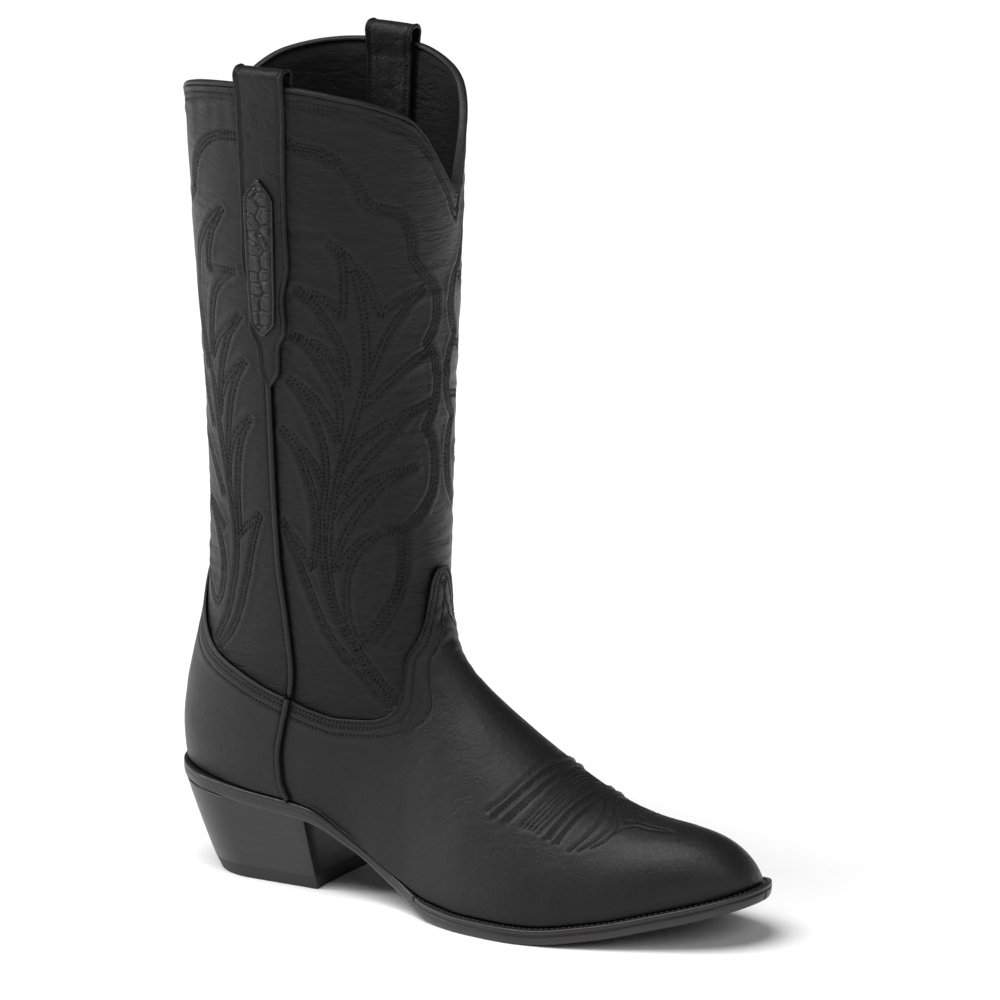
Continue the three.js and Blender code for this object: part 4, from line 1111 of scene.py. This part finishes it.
def build_straps():
    run = strap_run()
    u = np.sin(np.linspace(-np.pi / 2, np.pi / 2, 41))
    for word, side in SIDES.items():
        points, normal = strap_frame(side, run, u[None])
        width = strap_half_width(np.maximum(run[:, 1], STRAP_POINT))[:, None]
        inset = (1 - np.abs(u))[None] * width
        rim = 0.5 * np.exp(-((inset - 0.95) / 0.8) ** 2) - 0.4 * np.exp(-((inset - 2.6) / 0.65) ** 2)
        close = np.clip(inset / 0.45, 0, 1) ** 0.5
        front = points + normal * ((STRAP_HALF_THICKNESS + rim) * close)[..., None]
        rear = points - normal * (STRAP_HALF_THICKNESS * close)[..., None]
        sections = np.concatenate([front, rear[:, ::-1][:, 1:-1]], 1)
        loft_mesh(f"pull_strap_{word}_leather", sections, STRAP, [f"pull_strap_{word}"])
        rows = []
        for edge in (-1, 1):
            share = edge * (1 - 2.6 / np.maximum(width, 3.4))
            line, up = strap_frame(side, run, share)
            rows.append(((line + up * 0.52)[8:, 0], up[8:, 0]))
        stitch_mesh(f"pull_strap_{word}_stitching", rows, "foot_leather", 1.9, 1.35, 0.24)
        build_shield(word, side)


def build_shield(word, side):
    """The embossed shield: plump scales between sunken creases, with a flat stitched border."""
    rng = np.random.default_rng(5)
    z = np.linspace(SHIELD_LOW, SHIELD_HIGH, 190)
    u = np.linspace(-1, 1, 46)
    width = shield_half_width(z)[:, None]
    middle = STRAP_X - 1.5
    x = middle + u[None] * width
    zz = z[:, None] + 0 * x
    seeds = []
    for row in range(11):
        for column in (-1, 1):
            across = column * 2.9 + rng.uniform(-1.9, 1.9)
            seeds.append((across, SHIELD_LOW + 2 + 6.6 * row + column * 1.6 + rng.uniform(-2.4, 2.4)))
    seeds = np.array(seeds)
    warp = 1.1 * ripple(np.stack([x, 0 * x, zz], -1), (4, 4, 4), 17)
    across = (x - middle + warp)[..., None] - seeds[:, 0]
    distance = np.sort(np.hypot(across, (zz[..., None] - seeds[:, 1]) * 0.85), -1)
    crease = distance[..., 1] - distance[..., 0]
    inset = np.minimum((1 - np.abs(u))[None] * width, np.minimum(zz - SHIELD_LOW, SHIELD_HIGH - zz) * 0.55)
    plump = 1.15 * (1 - np.exp(-(crease / 0.8) ** 1.4)) - 0.35
    plump = plump + 0.12 * ripple(np.stack([x, 0 * x, zz], -1), (1.6, 1.6, 1.6), 3)
    scales = plump * np.clip((inset - 1.9) / 0.7, 0, 1)
    border = 0.25 * np.exp(-((inset - 0.7) / 0.6) ** 2) - 0.3 * np.exp(-((inset - 1.75) / 0.4) ** 2)
    close = np.clip(inset / 0.35, 0, 1) ** 0.5
    base = leg_side(x, zz)
    front = np.stack([x, side * (base + SHIELD_LIFT + (0.95 + scales + border) * close), zz], -1)
    rear = np.stack([x, side * (base + SHIELD_LIFT + 0 * x), zz], -1)
    sections = np.concatenate([front, rear[:, ::-1][:, 1:-1]], 1)
    loft_mesh(f"strap_shield_{word}_leather", sections, CROC, [f"strap_shield_{word}"])
    rim = []
    for edge in (-1, 1):
        share = edge * np.clip(1 - 1.7 / width[:, 0], 0, 1)
        along = middle + share * width[:, 0]
        line = np.stack([along, side * (leg_side(along, z) + 1.68), z], -1)
        rim.append((line[6:-6], np.tile([0.0, side, 0.0], (len(z) - 12, 1))))
    stitch_mesh(f"strap_shield_{word}_stitching", rim, "embossed_leather", 1.7, 1.25, 0.22)


# ---------------------------------------------------------------- welt, sole and heel

sole_ledge = curve([
    (-50, HEEL_LEDGE), (31, HEEL_LEDGE), (45, 0.6), (60, 0), (75, 0.6), (92, 2.8), (105, SOLE_LEDGE),
    (250, SOLE_LEDGE)])


def strip_sections(from_x, end_share, profile, count):
    """Sections round one end of the sole. The profile has (inset, share of the ledge, height) points."""
    start = float(share_at(float(outline_angle(from_x))))
    turn = np.linspace(-1, 1, count)
    angle = np.clip(angle_at(lerp(end_share, start, np.abs(turn))), 0.0, np.pi)
    ledge = sole_ledge(outline_x(angle))
    sections = []
    for inset, out, height in profile:
        outer, inner = (edge_points(side, angle, inset + out * ledge, height) for side in (-1, 1))
        sections.append(np.where((turn < 0)[:, None], outer, inner))
    return np.stack(sections, 1)


def build_welt():
    top = WELT_TOP
    for name, from_x, end, node, count, low, groove in (
            ("welt_leather", WELT_START, 1, "welt", 420, WELT_BOTTOM, 0.35),
            ("heel_rand_leather", WELT_START - 0.8, 0, "heel_rand", 320, SOLE_TOP + 0.05, 0.1)):
        profile = [(-3.2, 0, top), (0, 0.25, top), (-0.55, 1, top), (-0.15, 1, top - 0.25), (0, 1, top - 0.7),
                   (0, 1, low + 0.5), (-groove / 3, 1, low + 0.12), (-groove, 1, low), (-3.2, 0, low)]
        loft_mesh(name, strip_sections(from_x, end, profile, count), SOLE_EDGE, [node])
    row = strip_sections(WELT_START + 1, 1, [(0.95, 0.28, WELT_TOP + 0.08)], 420)[:, 0]
    up = np.tile([0.0, 0.0, 1.0], (len(row), 1))
    stitch_mesh("welt_stitching", [(row, up)], "sole_edge_leather", 2.6, 2.0, 0.36, 0.12)
    # A thin strip under the welt, lighter than the sole edge: a painted highlight line along the join of the
    # welt and the sole.
    line = [(-0.02, 1, WELT_BOTTOM - 0.02), (0.07, 1, WELT_BOTTOM - 0.1), (0.07, 1, WELT_BOTTOM - 0.26),
            (-0.02, 1, WELT_BOTTOM - 0.34), (-1, 1, WELT_BOTTOM - 0.34), (-1, 1, WELT_BOTTOM - 0.02)]
    loft_mesh("welt_painted_highlight", strip_sections(WELT_START, 1, line, 420), WELT_HIGHLIGHT)


# How far the sole's lower corner tucks in: little in front, a lot under the waist, with the heel behind.
sole_tuck = curve([(-50, 1.35), (31, 1.35), (44, 3.4), (60, 4), (76, 3.4), (100, 1.5), (250, 1.5)])


def build_outsole():
    start, end = share_at(float(outline_angle(HEEL_BACK))), share_at(float(outline_angle(TOE_TIP)))
    angle = np.clip(angle_at(np.linspace(start, end, 260)), 0.02, np.pi - 0.02)
    x = outline_x(angle)
    ledge, tuck = sole_ledge(x), sole_tuck(x)
    groove = np.clip((x - 70) / 20, 0.2, 1)
    deep = SOLE_BOTTOM + 1.1 * np.exp(-((x - 60) / 16) ** 2)
    edge = [(-0.5 * groove, SOLE_TOP), (-0.12 * groove, SOLE_TOP - 0.2), (0 * x, SOLE_TOP - 0.7)]
    for share, drop in ((0.06, 0.45), (0.2, 0.7), (0.42, 0.88), (0.68, 0.97), (1, 1)):
        edge.append((-share * tuck, lerp(SOLE_TOP, deep, drop)))
    outer, inner = ([edge_points(side, angle, ledge + out, height) for out, height in edge]
                    for side in (-1, 1))
    under = [lerp(outer[-1], inner[-1], t) for t in np.linspace(0, 1, 9)[1:-1]]
    over = [lerp(inner[0], outer[0], t) for t in (0.25, 0.5, 0.75)]
    sections = np.stack(outer + under + inner[::-1] + over, 1)
    loft_mesh("outsole_leather", sections, SOLE_EDGE, ["outsole"])


def heel_outline(share, height_at, inset):
    """The heel's outline at a share of its height: round behind, hollow at the breast."""
    back = lerp(*HEEL_BACKS, share ** 0.9) + inset
    breast = lerp(*HEEL_BREASTS, share) - inset
    half_width = lerp(*HEEL_HALF_WIDTHS, share ** 0.9) - inset
    widest = back + half_width * 0.98
    turn = np.radians(np.linspace(-90, 90, 61))
    plan = [(widest - (widest - back) * math.cos(t), half_width * math.sin(t)) for t in turn]
    sides = np.linspace(0, 1, 9)[1:]
    after = [(lerp(widest, breast - 0.8, t), lerp(half_width, half_width * HEEL_SIDE, t)) for t in sides]
    corner = [(breast - 0.25, half_width * HEEL_SIDE - 0.25), (breast, half_width * HEEL_SIDE - 0.9)]
    across = np.linspace(0.93, -0.93, 9)[1:-1] * half_width
    hollow = [(breast - 0.9 * (1 - (y / half_width) ** 2), y) for y in across]
    mirror = [(x, -y) for x, y in (after + corner)][::-1]
    ring = np.array(plan + after + corner + hollow + mirror)
    return np.concatenate([ring, height_at(ring[:, :1])], 1)


def build_heel():
    """The rubber cap and the leather lifts, one smooth flare from the floor to the sole."""
    seam = 0.015
    full = float(feather(0) + SOLE_BOTTOM)

    def seat(x):
        return feather(x) + SOLE_BOTTOM - seam

    def level(share):
        return lambda x: lerp(CAP_HEIGHT, seat(x), share)

    def layer(name, low, high, groove, material, slot, node):
        rings = []
        for t, inset, shift in ((0, groove, seam), (0, 0, 0.12), (0, 0, 0.4), (1, 0, -0.4), (1, 0, -0.1),
                                (1, groove, 0)):
            def height(x, t=t, shift=shift):
                return lerp(low(x), high(x), t) + shift
            rings.append(heel_outline(max(float(height(0.0)), 0) / full, height, inset))
        loft_mesh(name, rings, material, [node])

    layer("heel_cap_rubber", lambda x: 0 * x, level(0), 0.06, RUBBER, "rubber", "heel_cap")
    for i in range(LIFT_COUNT):
        layer(f"heel_lift_{i + 1}_leather", level(i / LIFT_COUNT), level((i + 1) / LIFT_COUNT), 0.015,
              HEEL, "sole_edge_leather", f"heel_lift_{i + 1}")


build_shaft()
build_linings()
build_bead()
build_foot()
build_piping()
build_straps()
build_welt()
build_outsole()
build_heel()

# ---------------------------------------------------------------- stage, light and camera


def build_stage():
    floor = bpy.data.meshes.new("floor")
    corners = [(x * FLOOR_HALF, y * FLOOR_HALF, 0) for x, y in ((-1, -1), (1, -1), (1, 1), (-1, 1))]
    floor.from_pydata(corners, [], [(0, 1, 2, 3)])
    material, tree, shader, place = node_material("pale_floor")
    paper = texture(tree, place, "Noise", 60, Detail=3.0)
    tree.links.new(ramp(tree, paper.outputs["Fac"], [(0.3, 0.93), (0.7, 0.96)]), shader.inputs["Base Color"])
    shader.inputs["Roughness"].default_value = 0.9
    shader.inputs["Specular IOR Level"].default_value = 0.1
    floor.materials.append(material)
    piece = bpy.data.objects.new("floor", floor)
    piece.location.z = -FLOOR_DROP
    bpy.context.scene.collection.objects.link(piece)


def area_light(name, place, target, size, power):
    data = bpy.data.lights.new(name, "AREA")
    data.shape = "RECTANGLE"
    data.size, data.size_y = size
    data.energy = power
    lamp = bpy.data.objects.new(name, data)
    lamp.location = place
    lamp.rotation_euler = (Vector(target) - Vector(place)).to_track_quat("-Z", "Y").to_euler()
    bpy.context.scene.collection.objects.link(lamp)


def build_light():
    world = bpy.data.worlds.new("studio")
    world.use_nodes = True
    background = world.node_tree.nodes["Background"]
    background.inputs["Color"].default_value = (1, 1, 1, 1)
    background.inputs["Strength"].default_value = WORLD_LIGHT
    bpy.context.scene.world = world
    sun = bpy.data.lights.new("sky", "SUN")
    sun.energy = SKY_LIGHT
    sun.angle = math.radians(SKY_SPREAD)
    lamp = bpy.data.objects.new("sky", sun)
    lamp.rotation_euler = Vector((-0.35, -0.5, 1.6)).to_track_quat("Z", "Y").to_euler()
    bpy.context.scene.collection.objects.link(lamp)
    area_light("left", (-1.9, -1.0, 1.0), (0.0, 0, 0.15), (0.7, 1.6), LEFT_LIGHT)
    area_light("right", (2.0, -1.0, 1.6), (0.1, 0, 0.12), (0.9, 1.2), RIGHT_LIGHT)


def build_camera():
    """The photograph's view: about 31 degrees toward the toe and 15 degrees down, from 4 m away."""
    turn, tilt = math.radians(CAMERA_TURN), math.radians(CAMERA_TILT)
    right = Vector((math.cos(turn), math.sin(turn), 0))
    back = Vector((math.sin(turn) * math.cos(tilt), -math.cos(turn) * math.cos(tilt), math.sin(tilt)))
    up = back.cross(right)
    data = bpy.data.cameras.new("camera")
    data.sensor_width = 36
    data.lens = CAMERA_LENS
    data.clip_end = 50
    camera = bpy.data.objects.new("camera", data)
    place = Vector(CAMERA_TARGET) + right * CAMERA_SHIFT[0] + up * CAMERA_SHIFT[1] + back * CAMERA_DISTANCE
    camera.matrix_world = Matrix((
        (right.x, up.x, back.x, place.x), (right.y, up.y, back.y, place.y),
        (right.z, up.z, back.z, place.z), (0, 0, 0, 1)))
    bpy.context.scene.collection.objects.link(camera)
    bpy.context.scene.camera = camera


build_stage()
build_light()
build_camera()
bpy.context.scene.view_settings.view_transform = "Standard"
